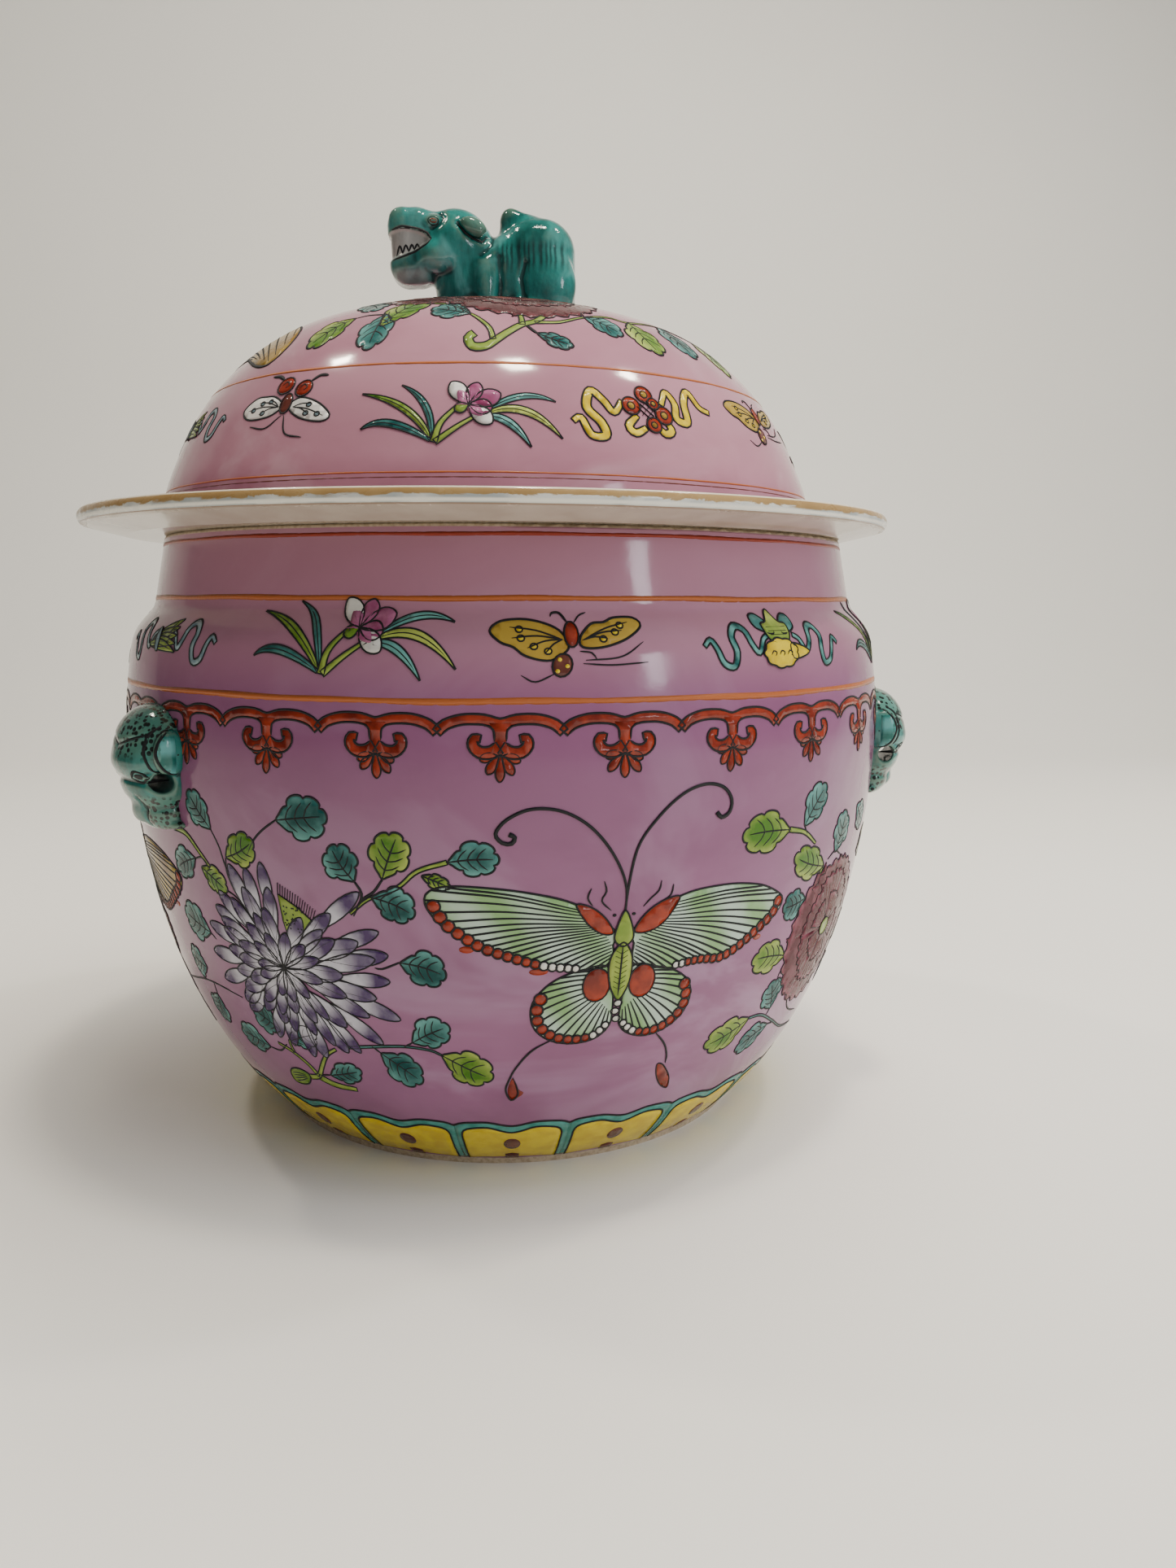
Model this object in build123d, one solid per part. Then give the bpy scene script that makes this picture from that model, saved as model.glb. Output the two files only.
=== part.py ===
from build123d import *
import os
from math import hypot

# Covered jar of the kamcheng form, in millimetres. The origin is at the centre of
# the foot ring's resting face, +Z points up and -Y is the front of the jar.

# ---- driving dimensions ----
wall = 5.5                      # thrown wall of the body and of the lid
foot_outer_radius = 80.0        # resting face of the foot ring
foot_inner_radius = 70.0
foot_recess = 4.0               # height of the hollow inside the foot ring
floor_top = 11.0                # inside of the jar's bottom
floor_radius = 64.0             # flat part of the inside bottom
mouth_outer_radius = 111.0
mouth_inner_radius = 105.0
mouth_height = 186.0            # top of the rim, where the lid rests
rim_rounding = 1.3
neck_foot_radius = 114.2        # where the neck meets the shoulder
neck_foot_height = 167.3

lid_shift = -5.2                # the lid sits a little off centre, towards -X
brim_radius = 130.7
brim_top = 193.1
brim_edge_bottom = 189.0
brim_edge_rounding = 1.0
brim_rise = 0.6                 # the brim's top climbs this much towards the dome
seat_radius = 117.0             # flat part of the brim's underside
dome_foot_radius = 105.6
dome_foot_height = 194.9
dome_top = 257.8
lid_opening_radius = 93.5
dome_join_radius = 3.0          # hollow curve between brim and dome

ring_outer_radius = 98.5        # locating ring that drops into the mouth
ring_inner_radius = 94.0
ring_bottom = 176.0
ring_tip_rounding = 1.5

lug_pair_axis = 14.0            # degrees from +X to the middle of a pair of lugs
lug_half_spacing = 23.0         # degrees from there to each lug of the pair
bail_hole_radius = 2.7
bail_hole_distance = 128.0      # from the jar's axis
bail_hole_height = 117.0
lug_half_width = 16.5

# Each rounded mass below is (centre, radii, lean in degrees about Y).
# The lug is drawn towards +X: its crown, its cheeks and its muzzle.
lug_masses = [
    ((124.0, 0, 125.0), (11.5, lug_half_width, 13.0), 0),
    ((124.5, 0, 118.0), (9.5, 15.0, 10.0), 0),
    ((124.0, 0, 110.0), (6.5, 14.0, 6.5), 0),
]

# The lion faces -X: rump, chest, back, tail, head, muzzle and jaw on its middle line.
lion_masses = [
    ((10.0, 0, 271.0), (14.0, 13.5, 19.0), 0),
    ((-10.0, 0, 266.0), (15.0, 12.0, 17.0), 0),
    ((0, 0, 270.0), (18.0, 12.0, 14.0), 0),
    ((1.5, 0, 286.5), (3.6, 4.0, 7.0), 12),
    ((-15.5, 0, 281.0), (12.5, 12.5, 11.0), 0),
    ((-29.0, 0, 284.5), (8.5, 9.5, 7.5), -10),
    ((-29.0, 0, 273.5), (8.0, 8.5, 5.5), 0),
]

# Its fore leg and haunch on the +Y side; the other pair mirrors them.
lion_leg_masses = [
    ((-13.0, 8.0, 262.0), (6.0, 5.5, 9.0), 0),
    ((13.0, 8.5, 263.0), (8.5, 6.5, 11.0), 0),
]

# Outside of the body from the foot ring to the neck, as (radius, height).
body_curve = [
    (80.6, 2.0),
    (94.7, 18.0),
    (111.1, 50.0),
    (122.0, 95.0),
    (124.6, 128.0),
    (122.7, 150.0),
    (120.2, 158.0),
    (115.8, 163.3),
    (neck_foot_radius, neck_foot_height),
]

# Directions in which that curve leaves the foot ring and meets the neck.
foot_slope = (0.75, 0, 0.66)
neck_slope = (mouth_outer_radius - neck_foot_radius, 0, mouth_height - neck_foot_height)

# Outside of the dome from the brim to the top, as (radius, height).
dome_curve = [
    (dome_foot_radius, dome_foot_height),
    (102.2, 206.3),
    (95.8, 219.8),
    (79.6, 239.1),
    (54.2, 252.9),
    (26.0, 257.3),
    (0.0, dome_top),
]


def inset(points, depth):
    """The points moved by depth square to the curve, towards the axis and down."""
    moved = []
    for index, (radius, height) in enumerate(points):
        before = points[max(index - 1, 0)]
        after = points[min(index + 1, len(points) - 1)]
        along_r = after[0] - before[0]
        along_z = after[1] - before[1]
        length = hypot(along_r, along_z)
        moved.append((radius - depth * along_z / length, height + depth * along_r / length))
    return moved


def at(points):
    """Radius and height pairs as points of the XZ plane."""
    return [(radius, 0, height) for radius, height in points]


def turned(edges):
    """The solid of revolution of a closed outline in the XZ plane."""
    return revolve(make_face(edges), Axis.Z)


def body_outside():
    """The body's outside line from the foot ring to the neck."""
    return Spline(*at(body_curve), tangents=[foot_slope, neck_slope])


def jar_solid():
    """The thrown vessel with its foot ring, open at the mouth."""
    inner_curve = inset(body_curve[1:], wall)
    rim_outer = (mouth_outer_radius, mouth_height - rim_rounding)
    rim_top_outer = (mouth_outer_radius - rim_rounding, mouth_height)
    rim_top_inner = (mouth_inner_radius + rim_rounding, mouth_height)
    rim_inner = (mouth_inner_radius, mouth_height - rim_rounding)
    inner_neck = inner_curve[-1]
    neck = Line(*at([body_curve[-1], rim_outer]))
    outer_lip = TangentArc(*at([rim_outer, rim_top_outer]), tangent=(0, 0, 1))
    rim = Line(*at([rim_top_outer, rim_top_inner]))
    inner_lip = TangentArc(*at([rim_inner, rim_top_inner]), tangent=(0, 0, 1))
    inner_throat = Line(*at([rim_inner, inner_neck]))
    cavity = [(floor_radius, floor_top)] + inner_curve
    inside = Spline(*at(cavity), tangents=[(1, 0, 0), neck_slope])
    bottom = Polyline(
        *at(
            [
                cavity[0],
                (0, floor_top),
                (0, foot_recess),
                (foot_inner_radius - foot_recess, foot_recess),
                (foot_inner_radius, 0),
                (foot_outer_radius, 0),
                body_curve[0],
            ]
        )
    )
    return turned([body_outside(), neck, outer_lip, rim, inner_lip, inner_throat, inside, bottom])


def dome_outside():
    """The dome's outside line, upright at the brim and level at the top."""
    return Spline(*at(dome_curve), tangents=[(-0.1, 0, 1), (-1, 0, 0)])


def lid_solid():
    """The domed lid with its wide brim, flat where it rests on the mouth."""
    inner_curve = inset(dome_curve, wall)[1:]
    inner_top = (0, dome_top - wall)
    inner_curve[-1] = inner_top
    brim_inner = (dome_foot_radius + dome_join_radius, brim_top + brim_rise)
    edge_top = (brim_radius - brim_edge_rounding, brim_top)
    edge_side = (brim_radius, (brim_top + brim_edge_bottom) / 2)
    edge_bottom = (brim_radius - brim_edge_rounding, brim_edge_bottom)
    seat_outer = (seat_radius, mouth_height)
    opening = (lid_opening_radius, mouth_height)
    join = Spline(*at([brim_inner, dome_curve[0]]), tangents=[(-1, 0, 0.05), (-0.1, 0, 1)])
    brim = Line(*at([edge_top, brim_inner]))
    edge = ThreePointArc(*at([edge_bottom, edge_side, edge_top]))
    underside = Polyline(*at([opening, seat_outer, edge_bottom]))
    inside = Spline(*at([opening] + inner_curve), tangents=[(0.25, 0, 1), (-1, 0, 0)])
    axis_line = Line(*at([inner_top, dome_curve[-1]]))
    lid = turned([dome_outside(), join, brim, edge, underside, inside, axis_line])
    return Pos(lid_shift, 0, 0) * lid


def locating_ring():
    """The collar under the lid that keeps it over the mouth."""
    section = make_face(
        Polyline(
            *at(
                [
                    (ring_inner_radius, mouth_height),
                    (ring_inner_radius, ring_bottom + ring_tip_rounding),
                    (ring_inner_radius + ring_tip_rounding, ring_bottom),
                    (ring_outer_radius - ring_tip_rounding, ring_bottom),
                    (ring_outer_radius, ring_bottom + ring_tip_rounding),
                    (ring_outer_radius, mouth_height),
                ]
            ),
            close=True,
        )
    )
    return Pos(lid_shift, 0, 0) * revolve(section, Axis.Z)


def rounded_mass(centre, radii, lean):
    """A ball stretched to three radii, leaning about Y by an angle in degrees."""
    ball = scale(Sphere(1), by=radii)
    return Pos(*centre) * Rot(0, lean, 0) * ball


def merged(masses):
    """One solid of all the masses in a list."""
    shape = rounded_mass(*masses[0])
    for mass in masses[1:]:
        shape += rounded_mass(*mass)
    return shape


def body_core():
    """Everything inside the body's outer surface, as one solid."""
    bottom = (0, body_curve[0][1])
    closing = Polyline(*at([body_curve[-1], (0, neck_foot_height), bottom, body_curve[0]]))
    return turned([body_outside(), closing])


def mask_lug(core):
    """One press-moulded animal mask, its back fitted to the wall, pierced for a bail."""
    hole = Pos(bail_hole_distance, 0, bail_hole_height) * Rot(90, 0, 0)
    hole = hole * Cylinder(bail_hole_radius, 4 * lug_half_width)
    return merged(lug_masses) - core - hole


def dome_core():
    """Everything under the dome's outer surface, as one solid."""
    foot = (0, dome_foot_height)
    closing = Polyline(*at([dome_curve[-1], foot, dome_curve[0]]))
    return Pos(lid_shift, 0, 0) * turned([dome_outside(), closing])


def lion_finial(core):
    """The crouching guardian lion on the lid, its underside fitted to the dome."""
    mirrored_legs = [((x, -y, z), radii, lean) for (x, y, z), radii, lean in lion_leg_masses]
    shape = merged(lion_masses + lion_leg_masses + mirrored_legs)
    return shape - core


def export_all():
    os.makedirs("parts", exist_ok=True)
    core = body_core()
    lug = mask_lug(core)
    pieces = {
        "jar_body": jar_solid(),
        "lid_shell": lid_solid(),
        "lid_locating_ring": locating_ring(),
        "lion_finial": lion_finial(dome_core()),
    }
    lug_angles = {
        "mask_lug_right_front": lug_pair_axis - lug_half_spacing,
        "mask_lug_right_back": lug_pair_axis + lug_half_spacing,
        "mask_lug_left_back": lug_pair_axis - lug_half_spacing + 180,
        "mask_lug_left_front": lug_pair_axis + lug_half_spacing + 180,
    }
    for name, angle in lug_angles.items():
        pieces[name] = Rot(0, 0, angle) * lug
    for name, shape in pieces.items():
        export_step(shape, f"parts/{name}.step")


export_all()
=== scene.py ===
import math
import random

import bpy
import numpy as np
from mathutils import Euler, Matrix, Vector
from mathutils.bvhtree import BVHTree
from mathutils.geometry import delaunay_2d_cdt


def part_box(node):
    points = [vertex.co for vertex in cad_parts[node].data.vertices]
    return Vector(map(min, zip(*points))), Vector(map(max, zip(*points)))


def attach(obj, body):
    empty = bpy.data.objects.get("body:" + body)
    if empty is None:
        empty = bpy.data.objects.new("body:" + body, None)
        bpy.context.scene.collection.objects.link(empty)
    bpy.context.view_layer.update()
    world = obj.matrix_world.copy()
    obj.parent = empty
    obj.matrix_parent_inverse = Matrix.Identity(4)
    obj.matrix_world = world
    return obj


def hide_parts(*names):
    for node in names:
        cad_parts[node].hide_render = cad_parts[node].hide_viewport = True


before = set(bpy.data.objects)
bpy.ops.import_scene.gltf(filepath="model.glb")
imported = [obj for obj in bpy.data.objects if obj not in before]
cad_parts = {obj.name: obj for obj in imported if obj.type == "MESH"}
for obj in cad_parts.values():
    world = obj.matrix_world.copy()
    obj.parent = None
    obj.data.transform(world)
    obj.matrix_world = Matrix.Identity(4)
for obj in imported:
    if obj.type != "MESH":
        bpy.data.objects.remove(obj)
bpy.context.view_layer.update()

# All painting is laid out in flat millimetres: on the unrolled wall of the body, on the
# unrolled dome of the lid, or on the dome seen from above. Surface and DomeTop carry it
# onto the CAD surfaces.
MM = 0.001
FRONT = math.radians(-90)
WALL_RADIUS = 120.0     # round the wall, x is angle times this
DOME_RADIUS = 100.0     # round the dome likewise
DEG = math.pi / 180
OUTSIDE = -0.3          # along Y in metres, clear of the object in front
OVERHEAD = 0.4          # up in metres, clear of the object above
READ_STEP = 0.5         # mm between readings of a CAD surface

lid_low, lid_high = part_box("lid_locating_ring")
LID_X = (lid_low.x + lid_high.x) / 2 / MM


# ---------------------------------------------------------------- surfaces
def cad_tree(node):
    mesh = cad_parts[node].data
    points = [v.co.copy() for v in mesh.vertices]
    return BVHTree.FromPolygons(points, [tuple(p.vertices) for p in mesh.polygons])


def read_wall():
    """Outer radius of the body against height, both in mm, read off the CAD mesh."""
    tree = cad_tree("jar_body")
    foot, rim = 2.5, 185.0
    heights = np.arange(foot, rim, READ_STEP)
    radii = []
    for height in heights:
        hit = tree.ray_cast(Vector((0.0, OUTSIDE, height * MM)), Vector((0, 1, 0)))[0]
        radii.append(math.hypot(hit.x, hit.y) / MM)
    return heights, np.array(radii)


def read_dome():
    """Arc length from the dome's foot, radius and height, in mm, read off the CAD mesh."""
    tree = cad_tree("lid_shell")
    foot_radius = 105.5
    foot, shoulder = 195.2, 240.0
    points = []
    for height in np.arange(foot, shoulder, READ_STEP):
        hit = tree.ray_cast(Vector((LID_X * MM, OUTSIDE, height * MM)), Vector((0, 1, 0)))[0]
        points.append((-hit.y / MM, height))
    last = points[-1][0]
    for radius in np.arange(last - READ_STEP, -0.01, -READ_STEP):
        hit = tree.ray_cast(Vector((LID_X * MM, -radius * MM, OVERHEAD)), Vector((0, 0, -1)))[0]
        points.append((radius, hit.z / MM))
    points = np.array([p for p in points if p[0] <= foot_radius])
    steps = np.hypot(np.diff(points[:, 0]), np.diff(points[:, 1]))
    arc = np.concatenate([[0.0], np.cumsum(steps)])
    return arc, points[:, 0], points[:, 1]


class Surface:
    """Turns flat (x, y, lift) in mm into points in space, in metres."""

    def __init__(self, along, radius, height, centre_x, reference):
        self.along = along
        self.radius = radius
        self.height = height
        slope_r = np.gradient(radius, along)
        slope_z = np.gradient(height, along)
        length = np.hypot(slope_r, slope_z)
        self.out_r = slope_z / length
        self.out_z = -slope_r / length
        self.centre_x = centre_x
        self.reference = reference

    def points(self, x, y, lift):
        angle = FRONT + x / self.reference
        radius = np.interp(y, self.along, self.radius) + lift * np.interp(y, self.along, self.out_r)
        height = np.interp(y, self.along, self.height) + lift * np.interp(y, self.along, self.out_z)
        across = self.centre_x + radius * np.cos(angle)
        return np.stack([across, radius * np.sin(angle), height], -1) * MM

    def x_at(self, degrees):
        """Distance round from the front of a direction in degrees, 270 being the front."""
        return (degrees - 270.0) * DEG * self.reference


class DomeTop:
    """The dome seen from above: x and y are plan distances from the lid's axis, in mm."""

    def __init__(self, dome):
        self.dome = dome

    def points(self, x, y, lift):
        radius = np.hypot(x, y)
        around = np.arctan2(y, x) - FRONT
        along = np.interp(-radius, -self.dome.radius, self.dome.along)
        return self.dome.points(around * self.dome.reference, along, lift)


wall_height, wall_radius = read_wall()
WALL = Surface(wall_height, wall_radius, wall_height, 0.0, WALL_RADIUS)
DOME = Surface(*read_dome(), LID_X, DOME_RADIUS)
TOP = DomeTop(DOME)


# ---------------------------------------------------------------- materials
class Nodes:
    """Short hand for building one material's node tree."""

    def __init__(self, name):
        self.material = bpy.data.materials.new(name)
        self.material.use_nodes = True
        self.tree = self.material.node_tree
        self.shader = self.tree.nodes["Principled BSDF"]
        self.position = self.node("ShaderNodeTexCoord").outputs["Object"]

    def node(self, kind, **settings):
        made = self.tree.nodes.new(kind)
        for key, value in settings.items():
            setattr(made, key, value)
        return made

    def link(self, source, target):
        self.tree.links.new(source, target)

    def plug(self, value, socket):
        if isinstance(value, bpy.types.NodeSocket):
            self.link(value, socket)
        else:
            socket.default_value = value

    def noise(self, scale, detail=3.0, stretch=(1, 1, 1), rough=0.5, distortion=0.0, seed=0.0):
        mapping = self.node("ShaderNodeMapping")
        mapping.inputs["Scale"].default_value = stretch
        mapping.inputs["Location"].default_value = (seed, seed * 0.7, seed * 1.3)
        self.link(self.position, mapping.inputs["Vector"])
        made = self.node("ShaderNodeTexNoise")
        made.inputs["Scale"].default_value = scale
        made.inputs["Detail"].default_value = detail
        made.inputs["Roughness"].default_value = rough
        made.inputs["Distortion"].default_value = distortion
        self.link(mapping.outputs["Vector"], made.inputs["Vector"])
        return made.outputs["Fac"]

    def ramp(self, value, low, high, smooth=True):
        """0 below low, 1 above high."""
        made = self.node("ShaderNodeMapRange", clamp=True)
        if smooth:
            made.interpolation_type = "SMOOTHSTEP"
        self.plug(value, made.inputs["Value"])
        made.inputs["From Min"].default_value = low
        made.inputs["From Max"].default_value = high
        return made.outputs["Result"]

    def math(self, operation, a, b=0.0):
        made = self.node("ShaderNodeMath", operation=operation)
        self.plug(a, made.inputs[0])
        self.plug(b, made.inputs[1])
        return made.outputs["Value"]

    def times(self, a, b):
        return self.math("MULTIPLY", a, b)

    def mix(self, factor, a, b):
        """Mixes two colours; inputs 6 and 7 and output 2 are the node's colour sockets."""
        made = self.node("ShaderNodeMix", data_type="RGBA")
        self.plug(factor, made.inputs["Factor"])
        for value, index in ((a, 6), (b, 7)):
            if isinstance(value, tuple):
                made.inputs[index].default_value = (*value, 1.0)
            else:
                self.link(value, made.inputs[index])
        return made.outputs[2]

    def blend(self, factor, a, b):
        """Mixes two numbers."""
        made = self.node("ShaderNodeMix", data_type="FLOAT")
        self.plug(factor, made.inputs[0])
        self.plug(a, made.inputs[2])
        self.plug(b, made.inputs[3])
        return made.outputs[0]

    def attribute(self, name):
        return self.node("ShaderNodeAttribute", attribute_name=name).outputs["Fac"]

    def bump(self, height, strength, distance):
        made = self.node("ShaderNodeBump")
        made.inputs["Strength"].default_value = strength
        made.inputs["Distance"].default_value = distance
        self.link(height, made.inputs["Height"])
        self.link(made.outputs["Normal"], self.shader.inputs["Normal"])

    def finish(self, color, roughness, coat=0.0, shine=0.32):
        self.plug(color if not isinstance(color, tuple) else (*color, 1.0),
                  self.shader.inputs["Base Color"])
        self.plug(roughness, self.shader.inputs["Roughness"])
        self.shader.inputs["Coat Weight"].default_value = coat
        self.shader.inputs["Specular IOR Level"].default_value = shine
        return self.material

    def polar(self, centre_x):
        """Distance from the upright axis at centre_x, outward facing, height, upward facing."""
        place = self.node("ShaderNodeSeparateXYZ")
        self.link(self.position, place.inputs["Vector"])
        x = self.math("SUBTRACT", place.outputs["X"], centre_x)
        y = place.outputs["Y"]
        squares = self.math("ADD", self.times(x, x), self.times(y, y))
        radius = self.math("SQRT", squares)
        facing = self.node("ShaderNodeSeparateXYZ")
        self.link(self.node("ShaderNodeNewGeometry").outputs["Normal"], facing.inputs["Vector"])
        dot_x = self.times(facing.outputs["X"], x)
        dot_y = self.times(facing.outputs["Y"], y)
        outward = self.math("DIVIDE", self.math("ADD", dot_x, dot_y), radius)
        return radius, outward, place.outputs["Z"], facing.outputs["Z"]


# Colours are linear. They are the enamels of the famille rose palette.
BODY_PINKS = ((0.275, 0.112, 0.220), (0.190, 0.066, 0.142), (0.40, 0.25, 0.38))
LID_PINKS = ((0.42, 0.208, 0.262), (0.32, 0.136, 0.188), (0.53, 0.365, 0.40))
WHITE_GLAZE = (0.74, 0.72, 0.64)
BISCUIT = (0.52, 0.42, 0.30)


def pink_ground(build, pinks):
    """Brushed rose enamel: soft clouds, pale patches where it is thin, darker strokes."""
    usual, deep, pale = pinks
    clouds = build.ramp(build.noise(13.0, 4.0, (1, 1, 1.6), 0.55, 0.8), 0.36, 0.66)
    thin = build.ramp(build.noise(11.0, 4.0, (1, 1, 1.2), 0.55, 1.6, 4.0), 0.50, 0.66)
    strokes = build.ramp(build.noise(45.0, 4.0, (0.7, 0.7, 1.8), 0.6, 0.2, 9.0), 0.50, 0.75)
    color = build.mix(build.times(clouds, 0.60), usual, deep)
    color = build.mix(build.times(strokes, 0.22), color, deep)
    return build.mix(build.times(thin, 0.45), color, pale)


def jar_material():
    build = Nodes("rose_enamelled_jar")
    _, outward, height, _ = build.polar(0.0)
    # Painted shade: the pink darkens from the belly up towards the shoulder.
    painted_upper_shade = build.times(build.ramp(height, 0.070, 0.120), 0.55)
    ground = build.mix(painted_upper_shade, pink_ground(build, BODY_PINKS), BODY_PINKS[1])
    neck = build.times(build.ramp(height, 0.138, 0.160), 0.60)
    ground = build.mix(neck, ground, LID_PINKS[0])
    # The outside is enamelled; the inside is white, and the rim and foot are bare clay.
    inside = build.times(build.ramp(outward, 0.05, -0.05), build.ramp(height, 0.003, 0.006))
    rim_top = build.ramp(height, 0.1849, 0.1852)
    foot = build.ramp(height, 0.0024, 0.0018)
    grain = build.ramp(build.noise(900.0, 4.0), 0.35, 0.7)
    clay = build.mix(grain, BISCUIT, (0.36, 0.28, 0.19))
    color = build.mix(inside, ground, WHITE_GLAZE)
    bare = build.math("MAXIMUM", rim_top, foot)
    color = build.mix(bare, color, clay)
    wave = build.noise(38.0, 2.0, (1, 1, 1.5))
    orange_peel = build.noise(700.0, 2.0)
    relief = build.math("ADD", wave, build.times(orange_peel, 0.05))
    build.bump(relief, 0.22, 0.0012)
    smooth = build.blend(build.ramp(build.noise(60.0, 3.0), 0.3, 0.7), 0.10, 0.17)
    return build.finish(color, build.blend(bare, smooth, 0.72), coat=0.10)


def lid_material():
    build = Nodes("rose_enamelled_lid")
    radius, _, height, upward = build.polar(LID_X * MM)
    ground = pink_ground(build, LID_PINKS)
    # The brim's edge from below up: a thin brown line, bluish glaze, worn brown, a cream lip.
    worn = build.ramp(build.noise(70.0, 5.0, (1, 1, 2.5), 0.65, 1.5), 0.35, 0.65)
    level = build.math("ADD", height, build.times(build.math("SUBTRACT", worn, 0.5), 0.0009))
    pale = build.ramp(build.noise(60.0, 4.0), 0.45, 0.62)
    bluish = build.mix(pale, (0.34, 0.37, 0.37), (0.62, 0.62, 0.58))
    brown = build.mix(build.noise(90.0, 4.0), (0.22, 0.12, 0.035), (0.42, 0.29, 0.13))
    edge = build.mix(build.ramp(height, 0.1892, 0.1894), (0.20, 0.12, 0.07), bluish)
    edge = build.mix(build.ramp(level, 0.1909, 0.1913), edge, brown)
    edge = build.mix(build.ramp(height, 0.1926, 0.1929), edge, (0.66, 0.59, 0.46))
    rim = build.ramp(radius, 0.1276, 0.1284)
    below = build.ramp(upward, -0.15, -0.35)
    patches = build.ramp(build.noise(80.0, 4.0), 0.3, 0.7)
    under = build.mix(patches, (0.42, 0.37, 0.30), (0.50, 0.45, 0.37))
    color = build.mix(rim, ground, edge)
    color = build.mix(build.times(below, build.ramp(height, 0.1892, 0.1888)), color, under)
    inside = build.times(below, build.ramp(height, 0.1894, 0.1898))
    color = build.mix(inside, color, WHITE_GLAZE)
    build.bump(build.noise(38.0, 2.0, (1, 1, 1.5)), 0.22, 0.0012)
    rough = build.blend(build.times(worn, rim), 0.12, 0.34)
    return build.finish(color, rough, coat=0.10)


def ring_material():
    build = Nodes("white_glazed_collar")
    spots = build.ramp(build.noise(120.0, 4.0), 0.45, 0.7)
    color = build.mix(spots, WHITE_GLAZE, (0.62, 0.58, 0.49))
    build.bump(build.noise(300.0, 3.0), 0.2, 0.0005)
    return build.finish(color, build.blend(spots, 0.22, 0.40))


# ---------------------------------------------------------------- stage
def new_object(name, data):
    """An object for the data, linked into the scene."""
    made = bpy.data.objects.new(name, data)
    bpy.context.collection.objects.link(made)
    return made


def stage_material():
    build = Nodes("studio_floor")
    color = build.mix(build.noise(3.0, 2.0), (0.80, 0.785, 0.73), (0.84, 0.825, 0.77))
    return build.finish(color, 0.75)


def make_stage():
    """A pale floor that sweeps up behind the jar."""
    front, depth, reach, bend, top = -2.0, 1.3, 2.2, 0.5, 2.2
    bend_steps = 12
    profile = [(front, 0.0), (depth - bend, 0.0)]
    for step in range(1, bend_steps + 1):
        turn = step / bend_steps * math.pi / 2
        profile.append((depth - bend + bend * math.sin(turn), bend - bend * math.cos(turn)))
    profile.append((depth, top))
    points = [(side * reach, y, z) for side in (-1, 1) for y, z in profile]
    count = len(profile)
    faces = [(i, i + count, i + count + 1, i + 1) for i in range(count - 1)]
    mesh = bpy.data.meshes.new("studio_sweep")
    mesh.from_pydata(points, [], faces)
    mesh.materials.append(stage_material())
    for polygon in mesh.polygons:
        polygon.use_smooth = True
    sweep = new_object("studio_sweep", mesh)


def area_light(name, place, size, power, color=(1, 1, 1), mirrored=True):
    """A soft lamp aimed at the jar. With mirrored off it lights the jar but isn't seen in the glaze."""
    data = bpy.data.lights.new(name, "AREA")
    data.shape = "RECTANGLE"
    data.size, data.size_y = size
    data.energy = power
    data.color = color
    lamp = new_object(name, data)
    lamp.location = place
    lamp.rotation_euler = (Vector((0, 0, 0.13)) - Vector(place)).to_track_quat("-Z", "Y").to_euler()
    lamp.visible_glossy = mirrored


def make_lights():
    warm = (1.0, 0.90, 0.76)
    area_light("top_softbox", (0.35, 0.05, 1.35), (1.2, 1.0), 21.5, (1.0, 0.94, 0.86), mirrored=False)
    area_light("right_wall", (1.25, -0.55, 0.80), (1.1, 0.9), 10, (0.94, 0.97, 1.0), mirrored=False)
    area_light("far_window", (0.90, -1.05, 0.55), (0.14, 0.40), 2.2, (0.93, 0.95, 1.0))
    lamps = (((-0.62, 0.25, 1.25), 0.08, 3.0), ((0.12, -0.16, 1.45), 0.13, 7.0),
             ((0.62, 0.10, 1.30), 0.08, 3.0))
    for number, (place, size, power) in enumerate(lamps):
        area_light(f"ceiling_lamp_{number}", place, (size, size), power, warm)
    make_room()


def make_room():
    """A soft room: brightest in front and to the right, dim behind and to the left."""
    world = bpy.data.worlds.new("soft_room")
    world.use_nodes = True
    tree = world.node_tree
    towards = tree.nodes.new("ShaderNodeVectorMath")
    towards.operation = "DOT_PRODUCT"
    towards.inputs[1].default_value = (0.77, -0.64, 0.05)
    tree.links.new(tree.nodes.new("ShaderNodeTexCoord").outputs["Generated"], towards.inputs[0])
    glow = tree.nodes.new("ShaderNodeMapRange")
    glow.interpolation_type = "SMOOTHSTEP"
    glow.inputs["From Min"].default_value = -0.25
    glow.inputs["From Max"].default_value = 0.95
    glow.inputs["To Min"].default_value = 0.13
    glow.inputs["To Max"].default_value = 0.50
    tree.links.new(towards.outputs["Value"], glow.inputs["Value"])
    back = tree.nodes["Background"]
    back.inputs["Color"].default_value = (0.84, 0.83, 0.82, 1)
    tree.links.new(glow.outputs["Result"], back.inputs["Strength"])
    bpy.context.scene.world = world


def make_camera():
    """Level with the neck's foot, 0.41 m from the axis, with a phone's wide lens assumed."""
    data = bpy.data.cameras.new("camera")
    data.sensor_width = 36.0
    data.lens = 27.05
    camera = new_object("camera", data)
    camera.location = (0.0, -0.4123, 0.167)
    pitch, yaw, roll = 8.89 * DEG, 3.85 * DEG, 0.21 * DEG
    aim = Euler((math.pi / 2 - pitch, 0, -yaw)).to_matrix() @ Matrix.Rotation(roll, 3, "Z")
    camera.rotation_euler = aim.to_euler()
    bpy.context.scene.camera = camera


# ---------------------------------------------------------------- painting kit
BRUSH = 1.25            # every painted line is this much broader than its nominal width
SHEET_BASE = -0.25      # mm: how deep a sheet's underside lies in the surface
LINE_BASE = -0.2        # and how deep a line's does
EDGE_DROP = 0.05        # a line's edges are this much lower than its crest
OUTLINE_RISE = 0.07     # an outline's crest stands this much above its sheet


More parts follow.
